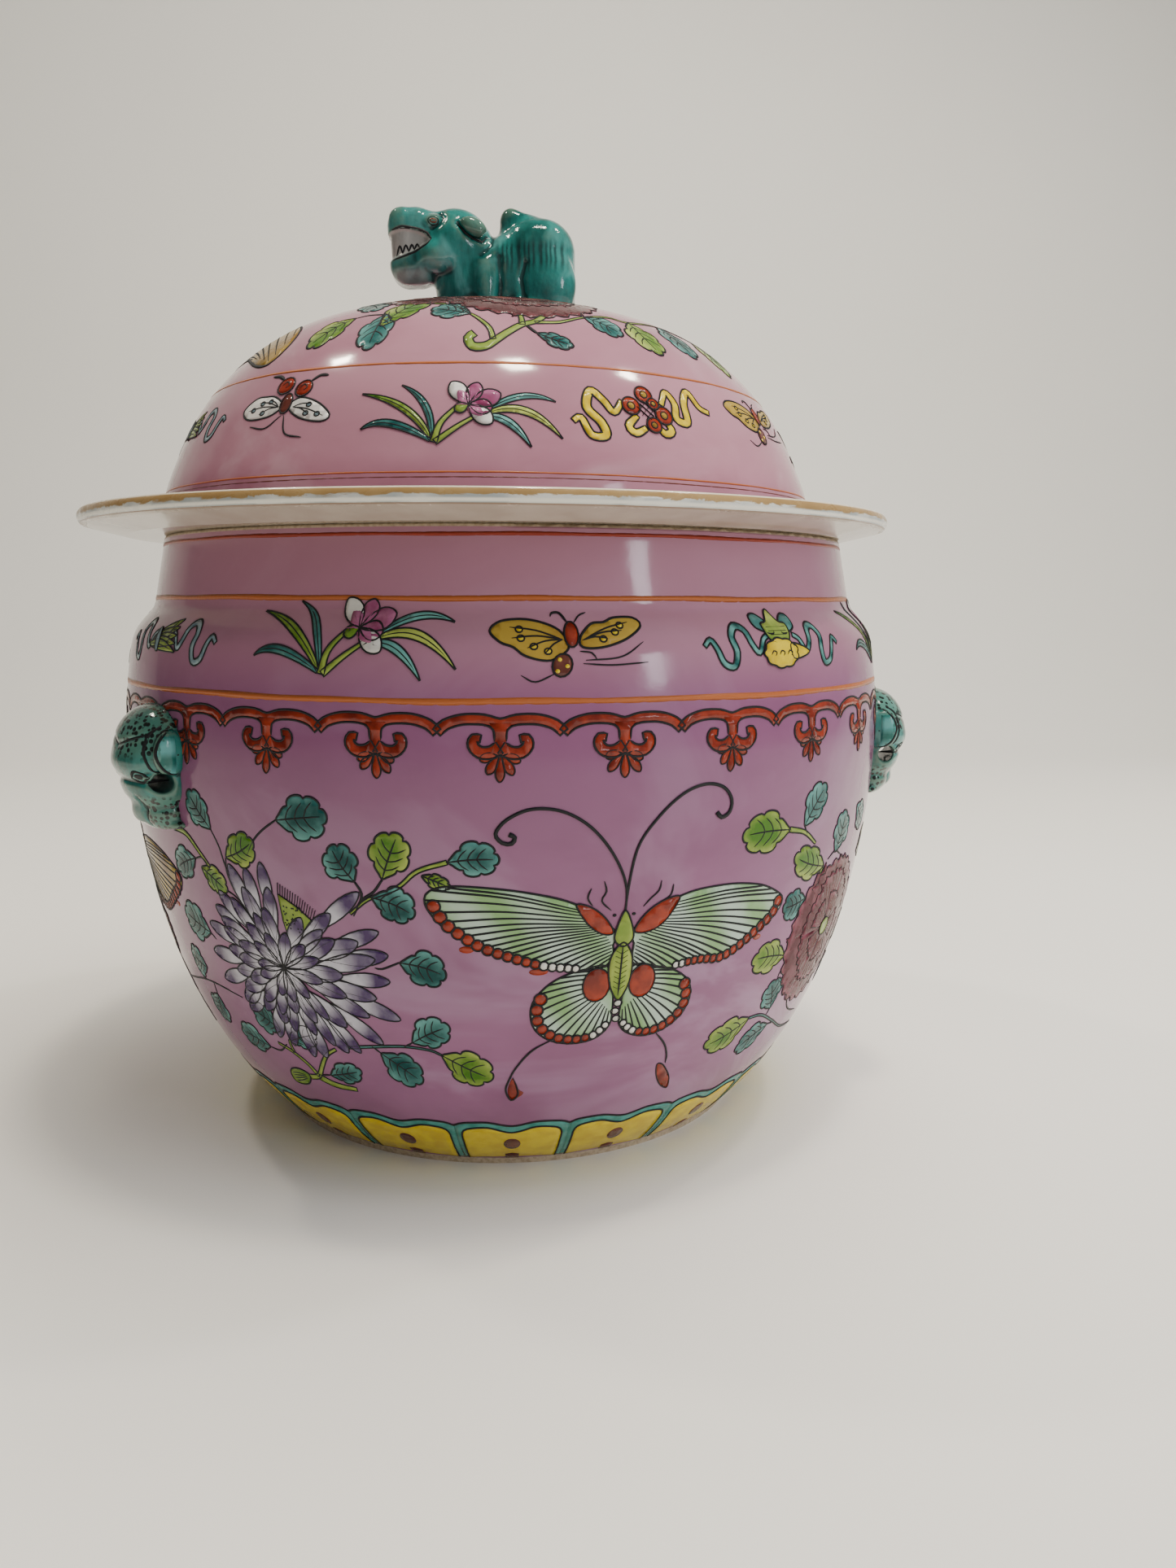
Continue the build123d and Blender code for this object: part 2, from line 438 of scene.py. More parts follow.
def smooth(points, step=1.0, closed=False):
    """A curve through the points, resampled about every step mm."""
    points = np.asarray(points, float)
    if closed:
        framed = np.vstack([points[-1], points, points[0], points[1]])
    else:
        framed = np.vstack([2 * points[0] - points[1], points, 2 * points[-1] - points[-2]])
    pieces = []
    for a, b, c, d in zip(framed, framed[1:], framed[2:], framed[3:]):
        count = max(2, int(np.hypot(*(c - b)) / step) + 1)
        t = np.arange(count)[:, None] / count
        square, cube = 2 * a - 5 * b + 4 * c - d, 3 * b - a - 3 * c + d
        pieces.append(0.5 * (2 * b + (c - a) * t + square * t**2 + cube * t**3))
    if not closed:
        pieces.append(points[-1:])
    return np.vstack(pieces)


def sideways(points, closed=False):
    """Unit vectors to the left of a line at each of its points."""
    if closed:
        along = np.roll(points, -1, 0) - np.roll(points, 1, 0)
    else:
        along = np.gradient(points, axis=0)
    length = np.maximum(np.hypot(along[:, 0], along[:, 1]), 1e-9)
    return np.stack([-along[:, 1], along[:, 0]], -1) / length[:, None]


def widened(path, width):
    """The outline of a band of the given width, or widths, along a path."""
    half = sideways(path) * (np.broadcast_to(width, len(path)) / 2)[:, None]
    return np.vstack([path + half, (path - half)[::-1]])


def ellipse(centre, radii, count=14, turn=0.0):
    angle = np.arange(count) / count * 2 * math.pi
    ring = np.stack([radii[0] * np.cos(angle), radii[1] * np.sin(angle)], -1)
    cosine, sine = math.cos(turn), math.sin(turn)
    return ring @ np.array([[cosine, sine], [-sine, cosine]]) + centre


def turning(degrees, size=1.0):
    """The matrix that turns rows of flat points by an angle and scales them."""
    cosine, sine = math.cos(degrees * DEG) * size, math.sin(degrees * DEG) * size
    return np.array([[cosine, sine], [-sine, cosine]])


class Place:
    """A spot on a surface where a motif is drawn in its own flat millimetres."""

    def __init__(self, surface, x, y, turn=0.0, size=1.0, lift=0.0):
        self.surface = surface
        self.origin = np.array([x, y])
        self.turning = turning(turn, size)
        self.lift = lift

    def flat(self, points):
        return np.asarray(points, float) @ self.turning + self.origin

    def at(self, x, y, turn=0.0, lift=0.0):
        """Another place, given in this one's millimetres."""
        spot = self.origin + np.array([x, y]) @ self.turning
        inner = Place(self.surface, spot[0], spot[1], lift=self.lift + lift)
        inner.turning = turning(turn) @ self.turning
        return inner

    def raised(self, lift):
        """The same place, further out from the surface."""
        return self.at(0, 0, lift=lift)


def add_piece(name, points, faces, layers, material, body):
    """A smooth piece on a body; layers are named values, one for each point."""
    mesh = bpy.data.meshes.new(name)
    mesh.from_pydata(points, [], faces)
    for layer, values in layers.items():
        mesh.attributes.new(layer, "FLOAT", "POINT").data.foreach_set("value", values.astype(np.float32))
    mesh.polygons.foreach_set("use_smooth", np.ones(len(mesh.polygons), bool))
    mesh.update()
    mesh.materials.append(material)
    made = new_object(name, mesh)
    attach(made, body)
    return made


class Enamel:
    """One painted piece: thin raised sheets and strokes gathered into one closed mesh."""

    def __init__(self):
        self.points = []
        self.faces = []
        self.tones = []
        self.count = 0

    def add(self, points, faces, tones):
        self.points.append(points)
        self.tones.append(tones)
        self.faces.extend([tuple(index + self.count for index in face) for face in faces])
        self.count += len(points)

    def sheet(self, place, outline, lift=0.10, tone=None, spacing=2.6):
        """A filled shape. tone gives the shade from 0 to 1 at points in the motif's own mm."""
        laid = place.flat(outline)
        low, high = laid.min(0), laid.max(0)
        across = np.arange(low[0] + spacing / 2, high[0], spacing)
        up = np.arange(low[1] + spacing / 2, high[1], spacing)
        inner = [(x, y) for x in across for y in up]
        corners = [Vector(p) for p in laid] + [Vector(p) for p in inner]
        made = delaunay_2d_cdt(corners, [], [list(range(len(laid)))], 1, 1e-4)
        flat = np.array([tuple(v) for v in made[0]])
        triangles = [tuple(f) for f in made[2]]
        if not triangles:
            return
        used = sorted({index for face in triangles for index in face})
        renumber = {old: new for new, old in enumerate(used)}
        triangles = [tuple(renumber[index] for index in face) for face in triangles]
        flat = flat[used]
        edges = set()
        for a, b, c in triangles:
            edges.update(((a, b), (b, c), (c, a)))
        rim = [(a, b) for a, b in edges if (b, a) not in edges]
        count = len(flat)
        top = place.surface.points(flat[:, 0], flat[:, 1], place.lift + lift)
        base = place.surface.points(flat[:, 0], flat[:, 1], SHEET_BASE)
        faces = triangles + [(c + count, b + count, a + count) for a, b, c in triangles]
        faces += [(b, a, a + count, b + count) for a, b in rim]
        if tone is None:
            shades = np.full(count, 0.5)
        else:
            own = (flat - place.origin) @ np.linalg.inv(place.turning)
            shades = np.clip(tone(own[:, 0], own[:, 1]), 0, 1)
        self.add(np.vstack([top, base]), faces, np.concatenate([shades, shades]))

    def stroke(self, place, path, width=0.5, lift=0.12, closed=False, taper=(0.35, 0.35)):
        """A brush line with a rounded back. taper gives the width left at its two ends."""
        laid = place.flat(path)
        count = len(laid)
        widths = np.broadcast_to(BRUSH * np.asarray(width, float), count).copy()
        if not closed:
            along = np.linspace(0, 1, count)
            widths *= np.interp(along, [0, 0.18, 0.82, 1], [taper[0], 1, 1, taper[1]])
        side = sideways(laid, closed) * (widths / 2)[:, None]
        crest = place.lift + lift
        self.tube(place.surface, laid, side, crest - EDGE_DROP, crest, closed)

    def tube(self, surface, line, side, edge, crest, closed):
        """A four-sided tube along a line, from its edges up to its crest and down into the surface."""
        rows = [
            surface.points(*(line + side).T, edge),
            surface.points(*line.T, crest),
            surface.points(*(line - side).T, edge),
            surface.points(*line.T, LINE_BASE),
        ]
        count = len(line)
        faces = []
        for i in range(count if closed else count - 1):
            here, there = 4 * i, 4 * ((i + 1) % count)
            for k in range(4):
                n = (k + 1) % 4
                faces.append((here + k, here + n, there + n, there + k))
        if not closed:
            end = 4 * (count - 1)
            faces.append((3, 2, 1, 0))
            faces.append((end, end + 1, end + 2, end + 3))
        self.add(np.stack(rows, 1).reshape(-1, 3), faces, np.full(4 * count, 0.5))

    def build(self, name, body, material, slot):
        tones = {"tone": np.concatenate(self.tones)}
        add_piece(name, np.vstack(self.points), self.faces, tones, material, body)


class Zone:
    """A band of painting, which keeps one piece for each enamel colour."""

    def __init__(self, name, body):
        self.name = name
        self.body = body
        self.colours = {}

    def __getitem__(self, colour):
        return self.colours.setdefault(colour, Enamel())

    def line(self, place, path, width=0.5, lift=0.12, **ends):
        """A black brush line."""
        self["black"].stroke(place, path, width, lift, **ends)

    def outlined(self, place, outline, colour, lift=0.10, width=0.42, tone=None, spacing=2.6):
        """A filled shape with a black line round it."""
        self[colour].sheet(place, outline, lift, tone, spacing)
        self.line(place, outline, width, lift + OUTLINE_RISE, closed=True)

    def build(self):
        for colour, enamel in self.colours.items():
            enamel.build(f"{self.name}_{colour}", self.body, ENAMELS[colour], "painted_enamels")


# ---------------------------------------------------------------- enamels
def tinted_enamel(name, dark, light, patch=0.25, gloss=0.14, scale=220.0, shine=0.32):
    """A translucent enamel that runs from dark to light with the piece's tone."""
    build = Nodes(name)
    tone = build.attribute("tone")
    flow = build.ramp(build.noise(scale, 4.0), 0.3, 0.7)
    shifted = build.math("ADD", tone, build.times(build.math("SUBTRACT", flow, 0.5), patch))
    color = build.mix(build.ramp(shifted, 0.0, 1.0, smooth=False), dark, light)
    build.bump(build.noise(500.0, 3.0), 0.25, 0.0004)
    return build.finish(color, build.blend(flow, gloss, gloss + 0.10), 0.25 * shine, shine)


def line_enamel(name, color, gloss=0.22):
    """An opaque enamel for brush lines; its gloss and surface vary along the line."""
    build = Nodes(name)
    flow = build.noise(260.0, 4.0)
    build.bump(build.noise(600.0, 3.0), 0.3, 0.0004)
    return build.finish(color, build.blend(flow, gloss, gloss + 0.2))


ENAMELS = {
    "black": line_enamel("black_enamel", (0.006, 0.007, 0.009), 0.45),
    "orange": line_enamel("iron_orange_enamel", (0.38, 0.105, 0.028)),
    "red_line": line_enamel("iron_red_line_enamel", (0.24, 0.028, 0.012)),
    "brown_line": line_enamel("brown_line_enamel", (0.12, 0.035, 0.018)),
    "red": tinted_enamel("iron_red_enamel", (0.090, 0.007, 0.004), (0.30, 0.032, 0.010), 0.7),
    "teal": tinted_enamel("teal_enamel", (0.001, 0.052, 0.050), (0.130, 0.345, 0.315), 0.3, shine=0.17),
    "lime": tinted_enamel("lime_enamel", (0.050, 0.150, 0.008), (0.40, 0.47, 0.10), 0.3, shine=0.17),
    "yellow": tinted_enamel("yellow_enamel", (0.50, 0.34, 0.008), (0.72, 0.56, 0.015), 0.6),
    "border_teal": tinted_enamel("border_teal_enamel", (0.018, 0.17, 0.14), (0.075, 0.30, 0.26), 0.8),
    "petal": tinted_enamel("white_purple_enamel", (0.52, 0.51, 0.58), (0.046, 0.016, 0.090), 0.25),
    "wing": tinted_enamel("pale_green_enamel", (0.20, 0.36, 0.14), (0.42, 0.53, 0.45), 0.6, scale=60.0),
    "ochre": tinted_enamel("ochre_enamel", (0.185, 0.090, 0.014), (0.37, 0.25, 0.040), 0.7, scale=90.0,
                           shine=0.12),
    "maroon": tinted_enamel("maroon_enamel", (0.075, 0.008, 0.018), (0.36, 0.12, 0.16), 0.5, shine=0.08),
    "magenta": tinted_enamel("magenta_enamel", (0.155, 0.010, 0.055), (0.45, 0.17, 0.31), 0.4),
    "plum": tinted_enamel("plum_enamel", (0.060, 0.012, 0.014), (0.21, 0.065, 0.075), 0.7),
    "grey_blue": tinted_enamel("grey_blue_enamel", (0.10, 0.16, 0.20), (0.26, 0.36, 0.38), 0.5),
    "white": tinted_enamel("white_enamel", (0.50, 0.49, 0.46), (0.70, 0.69, 0.64), 0.5),
    "brown": tinted_enamel("brown_enamel", (0.055, 0.012, 0.010), (0.15, 0.045, 0.03), 0.6),
}


# ---------------------------------------------------------------- motifs
def leaf(zone, place, length, width, colour, rng):
    """A round leaf of seven lobes lying along x, with its stalk at the origin."""
    angle = np.linspace(-math.pi, math.pi, 57)[:-1]
    lobes = 0.84 + 0.16 * np.abs(np.cos(3.5 * angle)) ** 0.45
    skew = rng.uniform(-0.05, 0.05) * np.sin(angle)
    squash = rng.uniform(-0.05, 0.05) * np.cos(2 * angle)
    lobes = lobes * (1 + skew + squash)
    stalk = np.exp(-(((math.pi - np.abs(angle)) / 0.30) ** 2))
    across = np.where(np.abs(angle) > 2.0, 1 - 0.55 * (np.abs(angle) - 2.0) / (math.pi - 2.0), 1.0)
    x = length * (0.53 + (0.47 * lobes + 0.10 * stalk) * np.cos(angle))
    y = width * 0.5 * lobes * np.sin(angle) * across
    bow = rng.uniform(-0.08, 0.08) * width

    def bent(px, py):
        return np.stack([px, py + bow * np.sin(math.pi * np.clip(px / length, 0, 1))], -1)

    side = rng.choice((-1, 1))
    shade = rng.uniform(0.0, 0.2)

    def tone(px, py):
        rim = np.hypot(py / (width / 2), 1.6 * px / length - 0.9)
        return shade + 1.1 * np.clip(rim - 0.35, 0, 1) ** 1.2 + 0.35 * side * py / width

    zone.outlined(place, bent(x, y), colour, 0.10, 0.46, tone, 1.7)
    rib = np.linspace(-0.02, 0.86, 7) * length
    zone.line(place, bent(rib, 0 * rib), 0.36, 0.17)
    for start in (0.20, 0.38, 0.56):
        for way in (1, -1):
            reach = width * 0.33 * math.sin(math.pi * (0.25 + 0.6 * start))
            px = np.array([start, start + 0.07, start + 0.19]) * length
            py = np.array([0.0, 0.55, 1.0]) * reach * way
            zone.line(place, smooth(bent(px, py), 1.2), 0.30, 0.16, taper=(1, 0.3))


def leaf_from(zone, whole, stalk, tip, width, colour, rng):
    """A leaf given by where its stalk and its tip are in the whole picture."""
    across, up = tip[0] - stalk[0], tip[1] - stalk[1]
    place = whole.at(*stalk, math.degrees(math.atan2(up, across)))
    leaf(zone, place, math.hypot(across, up), width, colour, rng)


def twig(zone, place, points, width=0.55, colour=None):
    """A thin stem: a single brush line, or a coloured band between two lines."""
    path = smooth(points, 1.4)
    if colour is None:
        zone.line(place, path, width, taper=(0.8, 0.5))
        return
    taper = np.interp(np.linspace(0, 1, len(path)), [0, 1], [1.0, 0.55])
    zone.outlined(place, widened(path, width * taper), colour, 0.09, 0.34)


def blade(zone, place, start, through, end, width, colour):
    """A long tapering leaf with a centre line, bent through its middle point."""
    start, through, end = (np.asarray(p, float) for p in (start, through, end))
    bend = 2 * through - (start + end) / 2
    t = np.linspace(0, 1, 17)[:, None]
    path = (1 - t) ** 2 * start + 2 * t * (1 - t) * bend + t**2 * end
    fullness = np.sin(math.pi * np.clip(t[:, 0] * 0.86 + 0.12, 0, 1)) ** 0.9
    outline = widened(path, np.maximum(0.82 * width * fullness, 0.12))
    zone.outlined(place, outline, colour, 0.09, 0.34, lambda x, y: 0.45 + 0.02 * x, 1.6)
    zone.line(place, path[1:-2], 0.24, 0.15, taper=(0.5, 0.2))


def petal_outline(length, width, tip=0.55):
    """A long petal from the origin along x, widest at tip of its length."""
    t = 0.5 - 0.5 * np.cos(np.linspace(0, math.pi, 12))
    half = width / 2 * np.sin(math.pi * t ** (math.log(0.5) / math.log(tip))) ** 0.6
    return np.vstack([np.stack([t * length, half], -1), np.stack([t * length, -half], -1)[-2:0:-1]])


# How far the flower reaches in mm every 45 degrees, starting to its right.
MUM_REACH = [37, 36, 32, 30, 31, 28, 27, 33]


def chrysanthemum(zone, place, seed):
    """A many-petalled flower, its petals white with purple tips."""
    rng = random.Random(seed)
    rows = [(24, 1.0, 0.46, 4.9), (21, 0.80, 0.26, 4.9), (16, 0.58, 0.10, 4.6), (11, 0.36, 0.0, 4.0)]
    for row, (count, reach, inner, width) in enumerate(rows):
        for number in range(count):
            angle = (number + 0.5 * (row % 2) + rng.uniform(-0.25, 0.25)) / count * 360
            if row < 2 and 56 < angle % 360 < 86:
                continue
            span = np.interp(angle % 360, np.arange(9) * 45, MUM_REACH + MUM_REACH[:1])
            start = span * inner
            length = span * reach * rng.uniform(0.88, 1.06) - start
            foot = (start * math.cos(angle * DEG), start * math.sin(angle * DEG))
            spot = place.at(*foot, angle + rng.uniform(-6, 6), lift=0.05 * row)

            def tone(x, y):
                share = x / length
                return np.clip((share - 0.46) / 0.30, 0, 1) - 0.25 * np.clip(share - 0.88, 0, 1) / 0.12

            outline = petal_outline(length, width * rng.uniform(0.85, 1.1), 0.62)
            zone.outlined(spot, outline, "petal", 0.08, 0.31, tone, 1.5)
    # The stamens show as a green wedge above the heart, with a fringe of hairs along its top.
    wedge = place.at(6.4, 14.6, lift=0.06)
    outline = [(-3.6, 7.4), (2.0, 4.4), (6.4, 0.8), (2.0, -3.6), (-2.0, -7.0), (-3.2, 0.0)]
    zone.outlined(wedge, outline, "lime", 0.10, 0.3)
    for step in range(16):
        foot = part_way(outline[:3], [step / 15])[0]
        zone.line(wedge, [foot, foot + (0.5 + 0.06 * step, 3.2)], 0.26, 0.2)
    for step in range(30):
        spot = (rng.uniform(-2.6, 3.6), rng.uniform(-3.0, 4.2))
        zone["black"].sheet(wedge, ellipse(spot, (0.28, 0.28), 6), 0.14)


# One big butterfly, in mm from the waist. Each side is given as seen in front.
UPPER_LEFT = [(-2.3, 0.6), (-2.2, 6), (-2.0, 10), (-12.6, 18), (-27, 22), (-42.9, 23.5),
              (-49.6, 22), (-50.9, 18.6), (-48.2, 14), (-44, 10.4), (-37.7, 6.4), (-29.3, 3.2),
              (-20.9, 0.6), (-11.5, -0.8)]
UPPER_RIGHT = [(3.8, 0.4), (3.6, 6), (3.2, 10), (15.7, 18), (29.3, 19.6), (41.9, 18), (50.3, 14.6),
               (53.9, 11.6), (52, 7.6), (46, 3.6), (38.7, -0.8), (32.5, -2.9), (25, -2.2),
               (16.8, -2.8), (9, -1.4)]
LOWER_LEFT = [(-2.4, -0.8), (-10.5, -0.7), (-17.8, -3.5), (-22.8, -8.5), (-24, -13.5),
              (-22.4, -18.5), (-17.8, -22), (-11.5, -23.3), (-5.2, -22.3), (-1.4, -19), (-0.6, -14)]
LOWER_RIGHT = [(3.6, -1.0), (11.5, -1.7), (17.8, -4), (22.6, -8), (24, -13), (22.4, -18),
               (17.8, -21.8), (11.5, -23.3), (5.9, -22), (2.4, -19), (1.6, -14)]
FEELER_LEFT = [(0.2, 12), (0.3, 22), (-3.5, 31), (-9.5, 38.5), (-16.5, 42.8), (-24, 43.6),
               (-30, 41), (-32.8, 37.4), (-31.2, 35), (-28.9, 34.8), (-28.2, 36.4), (-29.6, 37.2)]
FEELER_RIGHT = [(0.5, 12), (0.9, 22), (3, 33), (8.4, 40.7), (14.7, 46), (21, 48), (26.4, 46.8),
                (29.2, 43.3), (28.8, 40), (26.4, 38.7), (24.8, 40.2)]
TAIL_LEFT = [(-16.8, -21.2), (-23.4, -25), (-28, -30.6), (-30.2, -35), (-31.2, -38.6),
             (-29.6, -42.3), (-27.4, -40.4), (-27.8, -37), (-29.0, -34)]
TAIL_RIGHT = [(14.7, -23), (18.8, -27.4), (20.9, -31.6), (21.4, -34.6)]
DROP_RIGHT = [(18.4, -34.6), (19.6, -39), (22.6, -43), (26.2, -44.8), (25.4, -41), (23.2, -37.8),
              (20.6, -35.0)]
DROP_LEFT = [(-29.2, -34.4), (-30.6, -38.6), (-29.4, -42.0), (-26.8, -41.0), (-25.6, -39.6),
             (-27.2, -38.4), (-28.2, -35.6)]


def part_way(points, t):
    """Points at fractions t of the length of a line."""
    points = np.asarray(points, float)
    steps = np.concatenate([[0], np.cumsum(np.hypot(*np.diff(points, axis=0).T))])
    t = np.asarray(t) * steps[-1]
    return np.stack([np.interp(t, steps, points[:, 0]), np.interp(t, steps, points[:, 1])], -1)


def veins(zone, place, root, edge, count, lift):
    """Black ribs that fan from the root line of a wing to its edge, broader as they go."""
    starts = part_way(root, np.linspace(0.02, 1, count))
    ends = part_way(edge, np.linspace(0.02, 0.98, count) ** 0.88)
    for start, end in zip(starts, ends):
        middle = (start + end) / 2
        middle[1] += 0.035 * abs(end[0] - start[0])
        path = smooth([start, middle, end], 2.4)
        zone.line(place, path, np.linspace(0.30, 0.54, len(path)), lift, taper=(0.7, 0.8))


def even(shade):
    """The same tone all over a piece."""
    return lambda x, y: shade + 0 * x


def beads(zone, place, line, count, plain):
    """A row of round beads with black rings, smaller as it goes; the last few are left white."""
    share = np.linspace(0, 1, count)
    for number, spot in enumerate(part_way(line, share * (1.25 - 0.25 * share))):
        radius = 1.8 - 0.7 * share[number]
        ring = ellipse(spot, (radius, radius), 14)
        colour = "white" if number >= count - plain else "red"
        zone[colour].sheet(place, ring, 0.22, even(0.75))
        zone.line(place, ring, 0.42, 0.29, closed=True)


def clouded(x, y):
    return 0.5 + 0.5 * np.sin(x * 0.35 + y * 0.21)


def wing(zone, place, outline, root, edge, bead_line, colour, ribs, bead_count, plain):
    """A clouded wing with ribs from its root to its edge and beads along bead_line."""
    zone.outlined(place, smooth(outline, 1.6, closed=True), colour, 0.10, 0.46, clouded)
    veins(zone, place, root, smooth(edge, 1.5), ribs, 0.19)
    beads(zone, place, smooth(bead_line, 1.5), bead_count, plain)


def inset_line(points, centre, share):
    """The line drawn in towards a centre by a share of the way."""
    points = np.asarray(points, float)
    return points + (np.asarray(centre) - points) * share


def great_butterfly(zone, place, colour="wing"):
    wing(zone, place, UPPER_LEFT, [(-12.0, 16.8), (-9.4, 12.4), (-4.6, 9.2), (-2.4, 6.0), (-2.6, 1.4)],
         UPPER_LEFT[5:] + [(-3, -0.3)], inset_line(UPPER_LEFT[7:], (-20, 9), 0.07), colour, 21, 17, 5)
    wing(zone, place, UPPER_RIGHT, [(15.0, 16.8), (12.0, 11.6), (6.4, 9.0), (4.2, 6.0), (4.0, 1.2)],
         UPPER_RIGHT[5:] + [(4.5, -0.3)], inset_line(UPPER_RIGHT[7:14], (22, 9), 0.07), colour, 21, 17, 2)
    wing(zone, place, LOWER_LEFT, [(-3.2, -1.4), (-6, -9), (-1.6, -13.6)], LOWER_LEFT[1:-1],
         inset_line(LOWER_LEFT[3:-1], (-9, -11), 0.11), colour, 15, 12, 3)
    wing(zone, place, LOWER_RIGHT, [(4.2, -1.6), (7, -9), (2.4, -13.6)], LOWER_RIGHT[1:-1],
         inset_line(LOWER_RIGHT[3:-1], (10, -11), 0.11), colour, 15, 12, 3)
    patches = [
        [(-2.4, 9.6), (-5.4, 9.4), (-9.4, 12.4), (-12.6, 17.9), (-8.6, 17.0), (-4.6, 13.6)],
        [(3.4, 9.6), (7.4, 9.0), (12.0, 11.6), (15.8, 17.9), (11.0, 17.4), (6.2, 14.2)],
    ]
    for patch in patches:
        shape = smooth(patch, 1.0, closed=True)
        zone.outlined(place, shape, "red", 0.24, 0.36, lambda x, y: 0.95 - 0.05 * np.abs(y - 9))
    for centre in ((-6.0, -5.4), (7.2, -5.4)):
        shape = ellipse(centre, (3.9, 5.0), 18)
        zone.outlined(place, shape, "red", 0.24, 0.36, lambda x, y: 0.35 - 0.06 * y)
    edge_spots = [((-40.8, 6.0), (2.0, 1.0)), ((-22.0, -0.6), (2.6, 1.0)), ((45.6, 1.6), (1.6, 0.9))]
    for centre, radii in edge_spots:
        zone["red"].sheet(place, ellipse(centre, radii, 12), 0.06, even(0.9))
    thorax = [(0.5, 15.6), (-1.2, 12.0), (-2.0, 7.6), (0.6, 5.4), (3.2, 7.6), (2.4, 12.0)]
    abdomen = [(0.6, 6.6), (-2.4, 3.0), (-2.9, -2.0), (-1.8, -7.0), (0.6, -10.5), (2.8, -7.0),
               (3.7, -2.0), (3.2, 3.0)]
    higher = place.raised(0.16)
    for outline in (thorax, abdomen):
        shape = smooth(outline, 0.9, closed=True)
        zone.outlined(higher, shape, "lime", 0.14, 0.40, lambda x, y: 0.35 + 0.12 * np.abs(x))
    zone.line(higher, smooth([(0.5, 5.8), (0.4, -9)], 1.5), 0.4, 0.27)
    for row in range(8):
        y = 3.8 - row * 1.5
        for side in (-1, 1):
            zone.line(higher, [(0.45, y - 0.5), (0.45 + side * 1.7, y + 0.5)], 0.28, 0.26)
    for row in range(3):
        curl = ellipse((0.5 + 0.35 * (-1) ** row, -11.6 - 2.4 * row), (1.25, 1.0), 10)
        zone.outlined(place, curl, "white", 0.14, 0.34)
    for spot in ((-2.4, 14.4), (2.9, 14.4)):
        zone["black"].sheet(place, ellipse(spot, (0.55, 0.42), 8), 0.16)
    for feeler in (FEELER_LEFT, FEELER_RIGHT):
        path = smooth(feeler, 1.2)
        zone.line(place, path, np.linspace(0.5, 0.8, len(path)), 0.26, taper=(0.6, 1.3))
    for leg in (
        [(-5.6, 24), (-4.9, 21.2), (-6.0, 18.6), (-3.4, 15.8)],
        [(-8.9, 22.2), (-9.7, 19.6), (-8.4, 17.4)],
        [(10, 23), (9.5, 20.4), (7.2, 18.2), (5.4, 16.2)],
        [(13.6, 21.6), (12.9, 18.6), (9.6, 16.8)],
    ):
        zone.line(place, smooth(leg, 1.0), 0.38, 0.2)
    zone["red"].sheet(place, smooth(DROP_LEFT, 0.9, closed=True), 0.08)
    zone.outlined(place, smooth(DROP_RIGHT, 0.9, closed=True), "red", 0.08, 0.34)
    zone.line(place, smooth(TAIL_LEFT, 1.0), 0.5, 0.24)
    zone.line(place, smooth(TAIL_RIGHT, 1.0), 0.5, 0.24)


def peony(zone, place, size=20.0, colour="maroon", seed=3):
    """A full flower of broad scalloped petals, dark at the heart."""
    rng = random.Random(seed)
    rows = [(7, 1.0, 0.62), (6, 0.74, 0.56), (5, 0.48, 0.50)]
    for row, (count, reach, spread) in enumerate(rows):
        for number in range(count):
            angle = (number + 0.5 * (row % 2)) / count * 360 + rng.uniform(-8, 8)
            length = size * reach * rng.uniform(0.92, 1.06)
            t = np.linspace(-1, 1, 17)
            scallop = 1 - 0.07 * np.abs(np.cos(2.5 * math.pi * t)) ** 2
            rim_angle = t * spread * 52 * DEG
            rim = length * scallop[:, None] * np.stack([np.cos(rim_angle), np.sin(rim_angle)], -1)
            outline = np.vstack([rim, [[length * 0.12, length * 0.10], [length * 0.12, -length * 0.10]]])
            spot = place.at(0, 0, angle, lift=0.06 * row)

            def tone(x, y):
                return 0.75 * np.clip(np.hypot(x, y) / length / 0.16 - 5.2, 0, 1) ** 2

            zone.outlined(spot, outline, colour, 0.09, 0.32, tone, 1.7)
            for line in range(5):
                turn = (line - 2) * spread * 17 * DEG
                reach_in, reach_out = length * 0.45, length * rng.uniform(0.78, 0.90)
                hair = [(reach_in * math.cos(turn), reach_in * math.sin(turn)),
                        (reach_out * math.cos(turn), reach_out * math.sin(turn))]
                zone["brown_line"].stroke(spot, hair, 0.26, 0.16)
    heart = place.raised(0.2)
    zone.outlined(heart, ellipse((0, 0), (size * 0.14, size * 0.12), 14), "lime", 0.12, 0.32)


